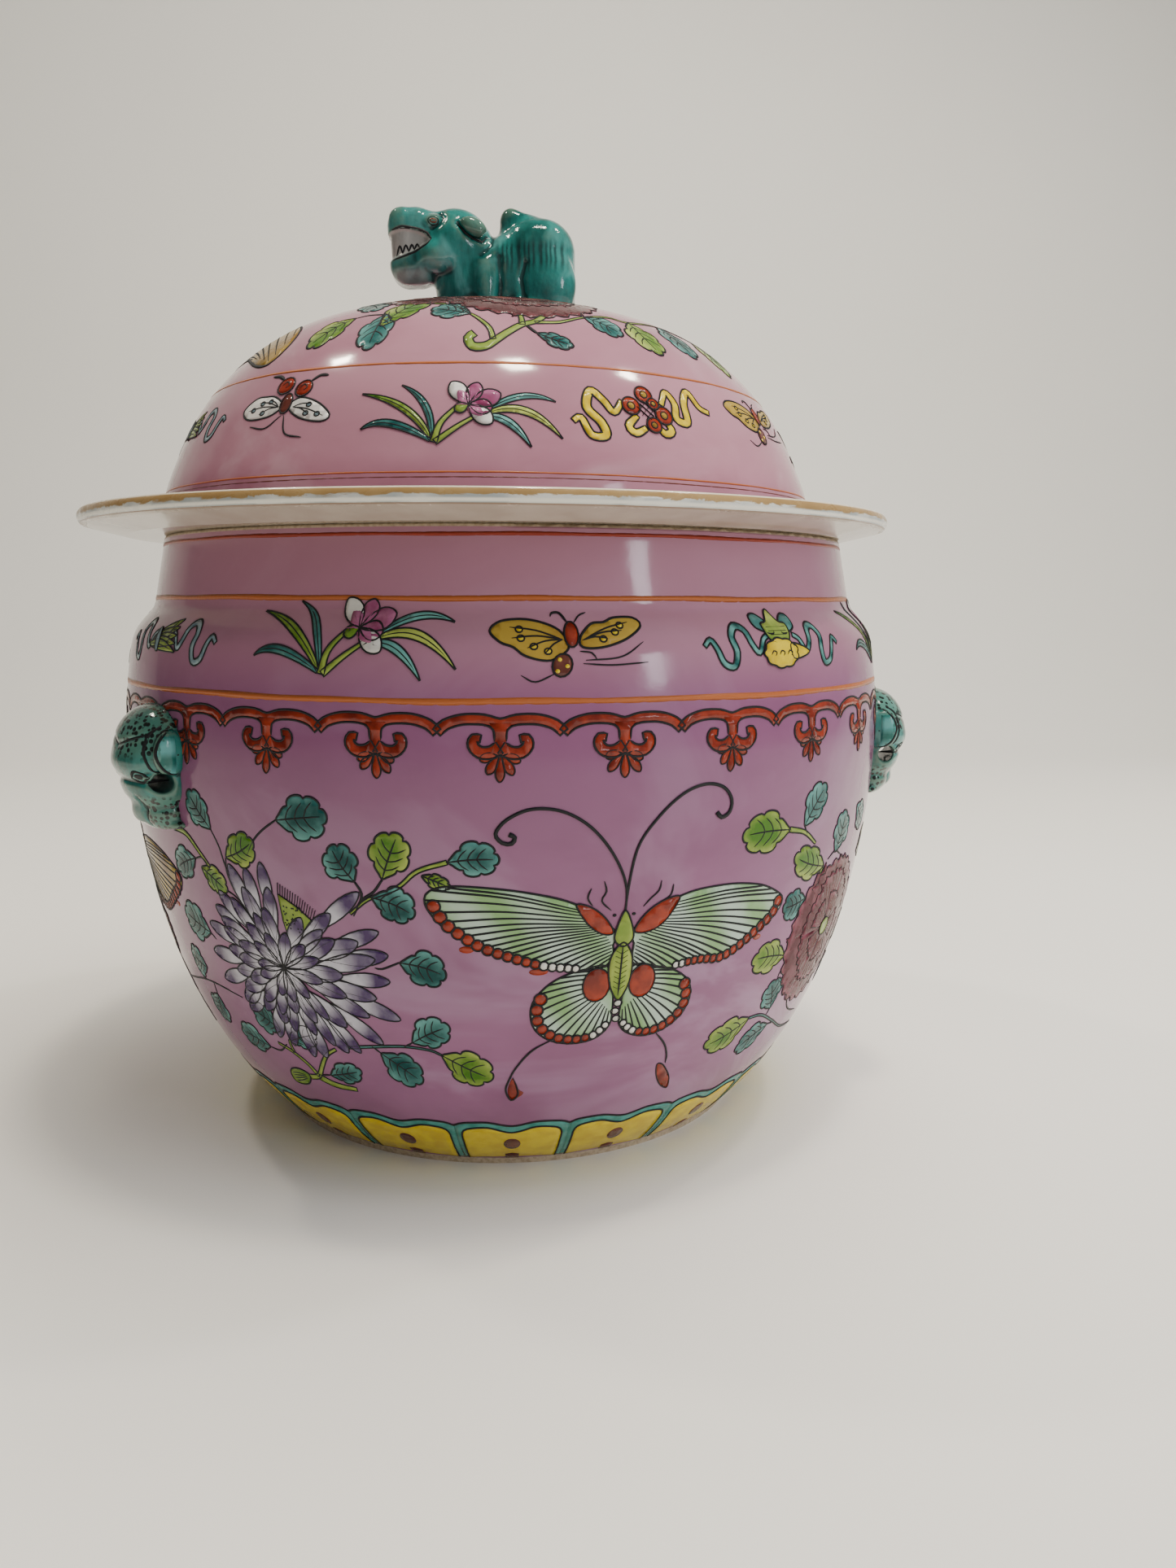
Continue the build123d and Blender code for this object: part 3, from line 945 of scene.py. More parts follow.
def orchid(zone, place):
    """A spray of long blades with a small flower, growing from its root at the origin."""
    blade(zone, place, (-0.4, 0.4), (-3.0, 10.6), (-10.4, 17.2), 2.5, "teal")
    blade(zone, place.raised(0.04), (-0.6, 0.0), (-8.8, 9.6), (-22.0, 14.6), 2.8, "lime")
    blade(zone, place.raised(0.08), (-0.8, -0.2), (-12.4, 5.0), (-20.4, 3.4), 2.9, "teal")
    upper = place.raised(0.12)
    twig(zone, upper, [(0.2, -0.8), (1.8, 5.0), (6.4, 10.4)], 2.0, "lime")
    twig(zone, upper, [(0.6, -0.8), (6.0, 3.6), (11.6, 7.4)], 1.8, "lime")
    blade(zone, place, (14.2, 8.8), (24.0, 13.6), (33.6, 12.2), 2.5, "teal")
    blade(zone, place.raised(0.04), (14.2, 8.0), (25.0, 8.8), (34.4, 0.8), 3.1, "lime")
    blade(zone, place.raised(0.08), (13.6, 7.0), (20.2, 5.2), (25.8, -2.0), 3.0, "teal")
    flower = place.at(9.2, 10.6, lift=0.16)
    for angle, length, width, colour in (
        (125, 9.0, 5.2, "white"), (22, 9.6, 5.6, "magenta"), (-42, 8.6, 5.0, "white"),
        (-10, 6.6, 4.8, "magenta"), (70, 7.6, 4.6, "magenta"), (206, 4.2, 3.2, "lime"),
    ):
        spot = flower.at(0, 0, angle)
        outline = petal_outline(length, width, 0.6)
        zone.outlined(spot, outline, colour, 0.12, 0.36, lambda x, y: 0.1 + 0.06 * x)
        if colour == "white":
            zone["magenta"].sheet(spot, petal_outline(length * 0.6, width * 0.65, 0.4), 0.16)
    for number in range(6):
        spot = flower.at(0.4, 0.0, 60 + 24 * number, lift=0.06)
        zone["magenta"].stroke(spot, [(2.0, 0.0), (4.2, 0.2)], 0.4, 0.2)


def ribbon(zone, place, points, width, colour, lift=0.10):
    """A waving ribbon between two lines, broad in its middle."""
    path = smooth(points, 1.0)
    fullness = 0.55 + 0.45 * np.sin(math.pi * np.linspace(0.08, 0.92, len(path)))
    outline = widened(path, width * fullness)
    zone.outlined(place, outline, colour, lift, 0.42, lambda x, y: 0.5 + 0.4 * np.sin(x * 0.9 + y), 2.0)


# A fluttering ribbon, leaving a tied object to its left.
STREAMER = [(-5.0, 2.6), (-7.4, 1.4), (-9.6, -1.9), (-11.8, 0.4), (-13.2, 4.0), (-16.0, 5.0),
            (-18.3, 2.4), (-17.4, -1.6), (-18.6, -5.2), (-21.8, -4.4), (-23.8, -0.4), (-25.4, 1.6),
            (-27.4, 0.0)]


def mirrored(points):
    return [(-x, y) for x, y in points]


def streamers(zone, place, colour, width=1.9):
    ribbon(zone, place, STREAMER, width, colour)
    ribbon(zone, place, mirrored(STREAMER), width, colour)


def emblem(zone, place):
    """A lime bowl on a yellow cloud, tied with a teal ribbon."""
    streamers(zone, place, "teal")
    loop = [(1.6, 3.2), (4.4, 3.2), (8.0, 4.8), (8.2, 7.6), (5.6, 8.2), (2.6, 6.0)]
    for bow in (mirrored(loop), loop):
        zone.outlined(place.at(-0.6, 0), smooth(bow, 0.9, closed=True), "teal", 0.12, 0.42)
    basin = [(-5.9, 5.4), (-5.2, 2.0), (-2.6, 0.6), (1.6, 0.6), (3.6, 2.2), (4.2, 5.4), (1.6, 6.2),
             (-0.8, 9.4), (-3.4, 6.2)]
    upper = place.raised(0.09)
    basin = smooth(basin, 0.9, closed=True)
    zone.outlined(upper, basin, "lime", 0.14, 0.42, lambda x, y: 0.05 + 0.12 * y)
    for row in range(3):
        zone.line(upper, [(-4.6 + 0.4 * row, 4.6 - row), (3.4 - 0.4 * row, 4.7 - row)], 0.3, 0.21)
    angle = np.linspace(0, 2 * math.pi, 41)[:-1]
    puff = 1 + 0.13 * np.abs(np.sin(angle * 4.5))
    cloud = np.stack([6.2 * puff * np.cos(angle) - 1.2, 3.6 * puff * np.sin(angle) - 2.2], -1)
    higher = place.raised(0.16)
    finger = [(3.0, 0.2), (7.6, -0.4), (10.8, -2.0), (7.6, -3.4), (3.4, -3.6)]
    zone.outlined(higher, smooth(finger, 0.9, closed=True), "yellow", 0.12, 0.4)
    zone.outlined(higher, cloud, "yellow", 0.16, 0.42)
    for spot in (-4.2, -1.0, 2.2):
        curl = [(spot - 1.3, -2.6), (spot - 0.4, -1.6), (spot + 0.8, -2.0), (spot + 0.2, -2.9)]
        zone.line(higher, smooth(curl, 0.7), 0.32, 0.24)


def brush_bundle(zone, place):
    """A green bundle of leaves tied with grey-blue ribbons."""
    streamers(zone, place, "grey_blue")
    for step in range(5):
        end = (7.0 + step * 0.4, 5.8 - step * 2.2)
        middle = (0.0, end[1] * 0.45)
        blade(zone, place.raised(0.04 * step), (-8.4, -1.2), middle, end, 3.6, "lime")
    knot = ellipse((-3.2, 0.2), (1.4, 3.4), 14, 0.2)
    zone.outlined(place.raised(0.22), knot, "grey_blue", 0.12, 0.4)


def winged(zone, place, outline, colour, root, tips, spots):
    """One wing of a small insect, with ribs from its root, each ending in a ringed spot."""
    shape = smooth(outline, 1.1, closed=True)
    zone.outlined(place, shape, colour, 0.10, 0.48, lambda x, y: 0.4 + 0.05 * np.abs(x), 2.0)
    root = np.asarray(root, float)
    for tip in np.asarray(tips, float):
        middle = (root + tip) / 2 + (0, 0.7)
        zone.line(place, smooth([root, middle, tip], 1.5), 0.34, 0.17)
        spot = ellipse(root + (tip - root) * 0.82, (0.9, 0.75), 10)
        zone[spots].sheet(place, spot, 0.13)
        zone.line(place, spot, 0.34, 0.20, closed=True)


def golden_moth(zone, place):
    """A golden moth with brown edges, its red body upright."""
    left = [(-2.0, 1.2), (-5.2, 3.6), (-11.5, 5.1), (-17.8, 4.6), (-20.4, 2.3), (-17.8, -0.4),
            (-14.6, -1.6), (-11.5, -3.8), (-5.6, -4.8), (-1.2, -2.0)]
    right = [(2.0, 0.8), (5.2, 4.0), (8.6, 4.4), (11.5, 5.5), (16.8, 5.5), (18.4, 3.5), (13.6, 0.2),
             (7.3, -1.7), (2.4, -1.6)]
    winged(zone, place, left, "ochre", (-2.4, 0.2),
           [(-15.5, 3.2), (-15.0, 0.6), (-11.2, -1.8), (-7.0, -3.2)], "yellow")
    winged(zone, place, right, "ochre", (2.4, 0.0), [(15.0, 4.4), (13.0, 2.4), (9.0, 0.4)], "yellow")
    upper = place.raised(0.08)
    zone.outlined(upper, ellipse((-2.8, -6.0), (2.4, 2.9), 14, -0.4), "brown", 0.12, 0.38)
    zone.outlined(upper, ellipse((-0.2, 1.4), (1.8, 3.1), 14), "red", 0.14, 0.38)
    for spot in ((-3.4, -4.6), (-1.6, -6.2), (-4.0, -7.4)):
        zone["yellow"].sheet(upper, ellipse(spot, (0.55, 0.5), 8), 0.18)
    feeler = smooth([(-0.8, 4.2), (-2.6, 6.6), (-4.6, 6.6), (-5.0, 5.8)], 0.9)
    zone.line(place, feeler, 0.5, 0.2)
    for line in (
        [(0.8, 4.2), (2.4, 6.0), (4.4, 6.8)], [(1.6, -2.6), (4.6, -3.0), (5.8, -4.6)],
        [(2.4, -5.6), (9.8, -6.0), (19.0, -5.4)], [(3.0, -4.8), (12.0, -4.0), (18.2, -0.4)],
        [(-4.6, -8.0), (-9.4, -10.0), (-12.8, -8.4)],
    ):
        zone.line(place, smooth(line, 1.0), 0.34, 0.17)


def spotted_bee(zone, place):
    """A red-headed insect with white spotted wings and two long curved tails."""
    left = [(-1.0, -3.0), (-5.2, 0.2), (-9.6, 0.8), (-14.2, 0.4), (-18.0, -3.4), (-14.0, -6.6),
            (-5.2, -6.2)]
    right = [(1.6, -3.6), (5.2, -0.8), (12.2, -3.0), (17.2, -7.2), (14.8, -9.2), (7.0, -7.6)]
    winged(zone, place, left, "white", (-2.4, -3.4),
           [(-15.6, -3.6), (-11.6, -1.2), (-10.0, -5.2), (-7.4, -0.8)], "grey_blue")
    winged(zone, place, right, "white", (3.2, -3.8), [(15.0, -7.4), (10.4, -3.4), (10.0, -6.8)],
           "grey_blue")
    upper = place.raised(0.08)
    zone.outlined(upper, ellipse((0.2, -2.4), (2.2, 3.4), 14), "brown", 0.12, 0.38)
    for centre, radius in (((-2.8, 4.0), 3.3), ((5.0, 2.4), 3.1)):
        zone.outlined(upper, ellipse(centre, (radius, radius * 0.92), 16), "red", 0.16, 0.42)
        curl = np.add(centre, [(-1.6, 0.2), (-0.2, 1.4), (1.2, 0.2), (0.2, -0.8)])
        zone.line(upper, smooth(curl, 0.7), 0.32, 0.24)
    for line, width in (
        ([(-5.0, 6.4), (-8.0, 8.0), (-11.6, 8.4)], 0.9), ([(6.6, 4.8), (9.4, 6.8), (12.4, 6.6)], 0.9),
        ([(-0.4, -6.4), (-5.4, -10.0), (-12.2, -9.0)], 0.4),
        ([(0.8, -6.4), (3.2, -12.2), (9.4, -13.8)], 0.45),
    ):
        zone.line(place, smooth(line, 1.0), width, 0.18)


def endless_knot(zone, place):
    """Looped coins laced together, with yellow streamers."""
    left = [(-8.0, 3.4), (-11.3, -0.5), (-14.0, 3.2), (-17.4, 6.2), (-19.4, 0.6), (-15.8, -4.0),
            (-15.0, -8.0), (-19.2, -8.0), (-21.6, -2.8), (-24.0, -4.0)]
    right = [(5.4, 3.2), (8.7, 8.0), (10.8, 4.2), (9.8, -0.8), (13.6, -1.6), (14.8, 5.0),
             (18.3, 9.3), (20.9, 4.2), (24.6, 2.6)]
    ribbon(zone, place, left, 2.8, "yellow")
    ribbon(zone, place, right, 2.8, "yellow")
    ribbon(zone, place, [(-4.0, -1.0), (-7.4, -4.4), (-5.6, -6.6), (-1.8, -4.8)], 2.6, "yellow")
    ribbon(zone, place, [(2.0, -3.6), (4.2, -6.2), (6.8, -5.0), (5.4, -2.0)], 2.6, "yellow")
    coins = [(0, 6.2, 2.9), (-5.4, 2.0, 2.9), (5.2, -0.4, 2.9), (0.9, -3.8, 2.4), (2.4, 3.2, 1.9)]
    for step, (x, y, radius) in enumerate(coins):
        coin = place.at(x, y, lift=0.08 + 0.02 * step)
        zone.outlined(coin, ellipse((0, 0), (radius, radius), 18), "red", 0.14, 0.42)
        zone.outlined(coin, ellipse((0, 0), (radius * 0.42, radius * 0.42), 10), "ochre", 0.18, 0.30)
    lattice = place.at(-0.4, 1.0, 45, lift=0.14)
    for offset in (-1.6, 0.0, 1.6):
        zone.line(lattice, [(-2.8, offset), (2.8, offset)], 0.4, 0.26)
        zone.line(lattice, [(offset, -2.8), (offset, 2.8)], 0.4, 0.26)


# ---------------------------------------------------------------- layout on the jar
def wall_place(degrees, height, turn=0.0, size=1.0, lift=0.0):
    return Place(WALL, WALL.x_at(degrees), height, turn, size, lift=lift)


def full_ring(zone, surface, along, width, colour, lift=0.12):
    """A painted line all the way round, a little uneven in width as a brush leaves it."""
    steps = 240
    x = np.arange(steps) / steps * 2 * math.pi * surface.reference
    angle = x / surface.reference
    wobble = 0.06 * width * (np.sin(7 * angle) + np.sin(17 * angle + 1))
    uneven = 1 + 0.10 * np.sin(11 * angle + 2) + 0.07 * np.sin(29 * angle)
    line = np.stack([x, along + wobble], -1)
    side = np.stack([0 * x, width / 2 * uneven], -1)
    zone[colour].tube(surface, line, side, 0.02, lift, closed=True)


RUYI_COUNT = 25


def ruyi_border(zone):
    """Iron-red cloud collars hanging from a scalloped band under the shoulder line."""
    pitch = 360 / RUYI_COUNT
    half = WALL.x_at(270 + pitch / 2)
    rng = random.Random(11)
    heart = 130.0
    band = [(-half, 134.7), (-half + 2.0, 136.6), (-9.0, 137.9), (-4.0, 137.9), (0, 136.9),
            (4.0, 137.9), (9.0, 137.9), (half - 2.0, 136.6), (half, 134.7)]
    arm = [(0.2, 131.0), (2.4, 129.8), (4.9, 129.9), (6.5, 131.5), (6.2, 133.3), (4.7, 133.2)]
    arm_width = np.array([3.2, 3.1, 2.9, 2.6, 2.3, 1.9])
    for number in range(RUYI_COUNT):
        place = wall_place(269 + number * pitch, 0)
        zone.outlined(place, widened(smooth(band, 1.4), 2.5), "red", 0.10, 0.46)
        for angle, length in ((-156, 5.4), (-124, 6.6), (-92, 7.6), (-60, 6.6), (-30, 5.2)):
            spot = place.at(0, heart, angle + rng.uniform(-5, 5), lift=0.02)
            outline = petal_outline(length * rng.uniform(0.92, 1.05), 2.3, 0.70)
            zone.outlined(spot, outline, "red", 0.10, 0.30)
        for side in (-1, 1):
            path = smooth([(side * x, y) for x, y in arm], 0.9)
            widths = np.interp(np.linspace(0, 1, len(path)), np.linspace(0, 1, 6), arm_width)
            zone.outlined(place.raised(0.04), widened(path, widths), "red", 0.12, 0.44)
        stem = [(-2.6, 137.0), (-1.3, 134.8), (-1.3, 132.2), (-2.4, 129.6), (0, 128.6),
                (2.4, 129.6), (1.3, 132.2), (1.3, 134.8), (2.6, 137.0)]
        zone["red"].sheet(place.raised(0.05), stem, 0.14)
        for side in (-1, 1):
            edge = smooth([(side * 3.4, 136.6), (side * 1.7, 135.4), (side * 1.4, 132.6)], 0.9)
            zone.line(place.raised(0.05), edge, 0.44, 0.20)
        tip = smooth([(-1.8, 129.6), (0, 128.9), (1.8, 129.6)], 0.8)
        zone.line(place.raised(0.06), tip, 0.36, 0.2)


LAPPET_COUNT = 18
LAPPET_TOP = 17.4
LAPPET_BOTTOM = 1.9


def upright(x, height):
    """Points one above another at the same x."""
    return np.stack([np.full(len(height), x), height], -1)


def foot_lappets(zone):
    """Yellow lappets in teal frames round the foot, each with two brown marks."""
    pitch = 360 / LAPPET_COUNT
    half = WALL.x_at(270 + pitch / 2)
    bar = 2.6
    frame_line = [(-half, 19.0), (-half + 3.5, 20.2), (-half * 0.42, 20.5), (0, 18.9),
                  (half * 0.42, 20.5), (half - 3.5, 20.2), (half, 19.0)]
    top_line = [(-half + bar, LAPPET_TOP - 1.4), (-half * 0.78, LAPPET_TOP + 0.2),
                (-half * 0.42, LAPPET_TOP + 0.9), (0, LAPPET_TOP - 1.4),
                (half * 0.42, LAPPET_TOP + 0.9), (half * 0.78, LAPPET_TOP + 0.2),
                (half - bar, LAPPET_TOP - 1.4)]
    for number in range(LAPPET_COUNT):
        place = wall_place(270 + number * pitch, 0)
        upper = smooth(frame_line, 1.8)
        height = np.linspace(LAPPET_BOTTOM, 18.0, 9)
        outline = np.vstack([upper[::-1], upright(-half, height[::-1]), upright(half, height)])
        zone["border_teal"].sheet(place, outline, 0.09, None, 3.0)
        zone.line(place, upper, 0.62, 0.18, taper=(1, 1))
        top = smooth(top_line, 1.6)
        height = np.linspace(LAPPET_BOTTOM, LAPPET_TOP - 2.6, 7)
        edge = half - bar
        panel = np.vstack([upright(-edge - 0.4, height), top, upright(edge + 0.4, height[::-1])])
        zone["yellow"].sheet(place, panel, 0.15, None, 3.0)
        zone.line(place, panel, 0.55, 0.24, taper=(1, 1))
        zone["brown"].sheet(place, ellipse((0, 10.6), (3.3, 2.6), 16), 0.20)
        zone["brown"].sheet(place, [(-2.7, 2.1), (2.7, 2.1), (2.9, 4.9), (0, 5.6), (-2.9, 4.9)], 0.20)


# Leaves of the front garden: stalk and tip as (direction in degrees, height in mm),
# width in mm and colour. The garden is painted twice, on opposite sides of the jar.
LEAVES = [
    ((229.0, 105.5), (225.0, 115.0), 9.5, "teal"), ((231.3, 98.0), (236.8, 104.0), 9.5, "lime"),
    ((240.8, 110.4), (248.2, 112.6), 12.0, "teal"), ((251.0, 95.6), (248.2, 105.0), 10.0, "teal"),
    ((254.6, 96.6), (257.0, 109.3), 10.5, "lime"), ((262.6, 101.8), (268.9, 102.6), 9.0, "teal"),
    ((259.6, 98.0), (262.8, 95.2), 4.2, "lime"), ((253.0, 91.6), (258.4, 87.0), 9.5, "teal"),
    ((224.4, 95.6), (218.4, 90.6), 9.5, "teal"), ((225.6, 93.4), (230.4, 88.0), 8.0, "lime"),
    ((224.0, 73.2), (217.4, 77.6), 12.0, "teal"), ((219.0, 60.0), (214.4, 63.0), 10.5, "teal"),
    ((218.8, 51.0), (216.4, 41.4), 10.5, "teal"), ((229.0, 38.2), (221.8, 40.2), 9.5, "teal"),
    ((233.6, 46.0), (228.6, 51.2), 10.5, "teal"), ((234.8, 43.0), (240.6, 47.6), 8.0, "teal"),
    ((240.5, 33.4), (246.8, 37.2), 7.5, "teal"), ((251.0, 44.6), (256.6, 35.4), 11.0, "teal"),
    ((260.2, 45.4), (267.2, 37.6), 11.5, "lime"), ((256.2, 49.2), (261.6, 55.0), 10.0, "teal"),
    ((255.8, 73.6), (261.9, 70.0), 10.0, "teal"), ((309.0, 104.2), (300.2, 104.6), 12.0, "lime"),
    ((312.2, 104.4), (316.6, 115.2), 10.5, "teal"), ((319.2, 90.0), (311.0, 95.6), 10.5, "lime"),
    ((315.6, 81.6), (310.2, 80.4), 9.5, "teal"), ((313.6, 64.4), (306.0, 66.2), 11.0, "lime"),
    ((315.0, 46.0), (312.4, 56.4), 10.5, "teal"), ((309.6, 45.6), (301.0, 40.0), 11.0, "lime"),
    ((316.6, 39.6), (309.6, 34.0), 9.5, "teal"), ((322.5, 93.0), (324.2, 105.4), 12.0, "teal"),
    ((329.5, 105.0), (335.0, 98.0), 9.5, "teal"), ((334.0, 52.0), (340.0, 44.0), 10.0, "teal"),
    ((336.0, 88.0), (343.0, 92.0), 10.0, "lime"), ((334.0, 64.0), (341.0, 62.0), 10.0, "teal"),
]

# Their stems: width in mm, colour or None for one brush line, then the points.
STEMS = [
    (1.7, "lime", [(219.5, 103.4), (223.0, 102.4), (225.6, 98.0), (227.6, 94.0)]),
    (0.5, None, [(230.0, 88.4), (232.0, 86.8), (234.0, 83.0)]),
    (0.5, None, [(224.4, 95.6), (226.0, 96.4), (227.2, 94.8)]),
    (0.5, None, [(229.0, 105.5), (230.2, 101.0), (231.0, 95.0), (232.6, 87.0)]),
    (0.5, None, [(231.3, 98.0), (231.0, 94.0), (231.8, 89.0), (233.2, 85.0)]),
    (0.5, None, [(240.8, 110.4), (238.6, 107.4), (236.8, 104.0), (235.4, 99.6)]),
    (0.6, None, [(251.0, 95.6), (251.8, 92.4), (251.3, 89.0)]),
    (0.6, None, [(254.6, 96.6), (253.4, 93.2), (251.6, 90.4), (250.4, 86.0)]),
    (1.2, "lime", [(262.6, 101.8), (259.0, 99.2), (256.4, 94.6), (252.6, 91.0), (250.0, 86.6)]),
    (0.5, None, [(253.0, 91.6), (251.6, 91.0)]),
    (0.5, None, [(224.0, 73.2), (225.0, 71.6)]),
    (0.5, None, [(255.8, 73.6), (253.4, 71.4), (252.4, 71.6)]),
    (0.5, None, [(205.0, 49.6), (211.0, 52.4), (216.0, 54.6), (221.0, 55.2), (227.0, 54.0)]),
    (0.5, None, [(218.8, 51.0), (219.2, 55.0)]),
    (0.5, None, [(229.0, 38.2), (231.4, 38.2), (233.6, 41.4)]),
    (1.8, "lime", [(235.6, 30.6), (237.8, 32.0), (239.6, 36.6), (241.4, 41.0), (243.4, 43.6)]),
    (1.5, "lime", [(237.8, 32.0), (236.4, 36.0), (234.0, 39.4), (231.6, 41.0)]),
    (1.0, "lime", [(234.6, 39.0), (234.6, 43.0), (236.0, 44.6)]),
    (2.6, "lime", [(237.8, 31.6), (240.6, 29.8), (244.6, 29.6)]),
    (0.5, None, [(238.6, 32.6), (240.5, 33.4)]),
    (0.9, "teal", [(245.6, 45.0), (249.6, 46.4), (254.6, 47.6), (258.4, 47.0), (260.2, 45.4)]),
    (0.5, None, [(254.8, 47.4), (256.2, 49.2)]),
    (0.5, None, [(249.8, 46.6), (251.0, 44.6)]),
    (1.6, "lime", [(309.0, 104.2), (312.4, 102.4), (315.6, 98.2)]),
    (1.2, "lime", [(319.2, 90.0), (318.4, 86.6), (319.6, 82.6)]),
    (0.5, None, [(312.2, 104.4), (313.0, 101.8)]),
    (0.5, None, [(315.6, 81.6), (318.4, 82.0)]),
    (0.5, None, [(315.8, 80.4), (314.4, 76.0), (315.6, 71.6), (317.4, 68.0)]),
    (0.5, None, [(313.6, 64.4), (315.6, 63.4), (317.4, 64.4)]),
    (0.5, None, [(314.6, 60.6), (313.8, 57.2), (316.0, 53.8), (319.0, 51.6)]),
    (0.8, "teal", [(309.6, 45.6), (313.0, 44.8), (318.0, 40.0), (324.0, 34.4), (332.0, 31.0)]),
    (0.5, None, [(316.6, 39.6), (318.6, 39.0)]),
    (0.5, None, [(315.0, 46.0), (314.6, 43.8)]),
    (0.5, None, [(320.4, 91.6), (322.5, 93.4), (325.0, 91.4)]),
    (0.5, None, [(319.6, 50.4), (321.0, 44.6), (324.0, 40.4), (329.0, 37.4)]),
]


def garden(zone, turn):
    """Chrysanthemum, great butterfly and peony among leaves; turn is in degrees."""
    rng = random.Random(5)

    def spot(point):
        return WALL.x_at(point[0] + turn), point[1]

    whole = Place(WALL, 0, 0)
    for width, colour, points in STEMS:
        twig(zone, whole, [spot(p) for p in points], width, colour)
    for stalk, tip, width, colour in LEAVES:
        leaf_from(zone, whole, spot(stalk), spot(tip), width, colour, rng)
    bud = wall_place(233.0 + turn, 29.6, 12)
    outline = [(-5.4, -1.0), (-3.0, 2.4), (2.0, 2.8), (5.6, 0.6), (2.4, -2.6), (-3.2, -2.8)]
    outline = smooth(outline, 1.0, closed=True)
    zone.outlined(bud, outline, "lime", 0.12, 0.42, lambda x, y: 0.3 - 0.05 * x)
    for step in range(4):
        line = [(-4.0 + 0.3 * step, -1.6 + step), (0, -1.4 + step * 0.9), (3.6, -0.6 + step * 0.4)]
        zone.line(bud, smooth(line, 1.2), 0.3, 0.19)
    chrysanthemum(zone, wall_place(238.3 + turn, 68.0, lift=0.06), 7)
    peony(zone, wall_place(325.0 + turn, 68.5, lift=0.06), 24.0)
    great_butterfly(zone, wall_place(284.0 + turn, 72.0, lift=0.02))


def side_butterfly(zone, turn):
    great_butterfly(zone, wall_place(194.5 + turn, 77.0, size=0.95), "ochre")


def around(zone, surface, start, along, motifs, size, orchid_shift=0.0):
    """The motifs in turn at equal steps round a surface."""
    for number, motif in enumerate(motifs):
        degrees = start + number * 360 / len(motifs)
        shift = orchid_shift if motif is orchid else 0.0
        motif(zone, Place(surface, surface.x_at(degrees) + shift, along[motif], size=size))


def paint_jar():
    rings = Zone("jar_lines", "jar")
    under_rim, neck_foot, shoulder_line = 183.3, 167.3, 142.3
    full_ring(rings, WALL, under_rim, 1.0, "red_line")
    full_ring(rings, WALL, neck_foot, 1.4, "orange")
    full_ring(rings, WALL, shoulder_line, 1.6, "orange")
    rings.build()
    border = Zone("jar_border", "jar")
    ruyi_border(border)
    border.build()
    foot = Zone("jar_foot", "jar")
    foot_lappets(foot)
    foot.build()
    shoulder = Zone("jar_shoulder", "jar")
    heights = {orchid: 149.2, golden_moth: 157.0, emblem: 155.2, spotted_bee: 156.0, endless_knot: 154.6,
               brush_bundle: 155.4}
    motifs = [orchid, golden_moth, emblem, orchid, spotted_bee, endless_knot] * 2
    motifs[-1] = brush_bundle
    around(shoulder, WALL, 247.5, heights, motifs, 1.0)
    shoulder.build()
    for turn in (0, 180):
        field = Zone(f"jar_garden_{turn}", "jar")
        garden(field, turn)
        side_butterfly(field, turn)
        field.build()


# ---------------------------------------------------------------- layout on the lid
# Leaves of the lid's top, seen from above: stalk and tip in mm from the lid's axis.
TOP_LEAVES = [
    ((-37.0, -62.0), (-50.0, -67.0), 11.0, "lime"), ((-28.0, -66.0), (-32.0, -80.0), 10.0, "teal"),
    ((-29.0, -72.0), (-17.0, -60.0), 11.0, "lime"), ((-4.5, -73.0), (-15.5, -67.5), 9.0, "teal"),
    ((13.5, -80.0), (23.0, -81.5), 5.0, "teal"), ((27.0, -66.0), (37.5, -69.0), 9.5, "teal"),
    ((40.0, -58.0), (48.5, -69.0), 11.0, "lime"), ((50.0, -46.0), (60.0, -57.0), 11.0, "teal"),
    ((-36.0, -44.0), (-31.0, -60.0), 10.0, "teal"), ((62.0, -36.0), (72.0, -46.0), 10.0, "lime"),
]
TOP_STEMS = [
    (2.6, "lime", [(-3.4, -81.6), (-5.0, -83.2), (-3.8, -85.8), (-0.4, -85.8), (2.4, -83.8),
                   (6.0, -80.4), (9.4, -77.2), (13.2, -74.6), (16.6, -69.4), (19.0, -64.0)]),
    (1.5, "lime", [(1.6, -83.6), (0.6, -79.6), (-2.4, -75.4), (-4.5, -73.0)]),
    (1.7, "lime", [(9.4, -77.2), (9.0, -73.0), (6.8, -68.0)]),
    (1.3, "lime", [(13.0, -75.4), (19.6, -73.0), (25.0, -68.0), (27.0, -66.0)]),
    (0.9, None, [(10.6, -77.4), (12.2, -79.0), (13.5, -80.0)]),
    (1.0, "lime", [(-17.0, -62.0), (-10.0, -66.0), (-4.5, -73.0)]),
    (0.6, None, [(-28.0, -66.0), (-33.0, -63.0), (-37.0, -62.0)]),
    (1.0, "lime", [(27.0, -66.0), (34.0, -60.0), (40.0, -58.0), (50.0, -46.0), (62.0, -36.0)]),
]
STRIPED_WING = [(-76, -6), (-73, 1), (-67, -2), (-62, -14), (-58, -30), (-54.5, -48), (-56, -58),
                (-61.5, -61), (-67, -54), (-72, -38), (-75.5, -20)]


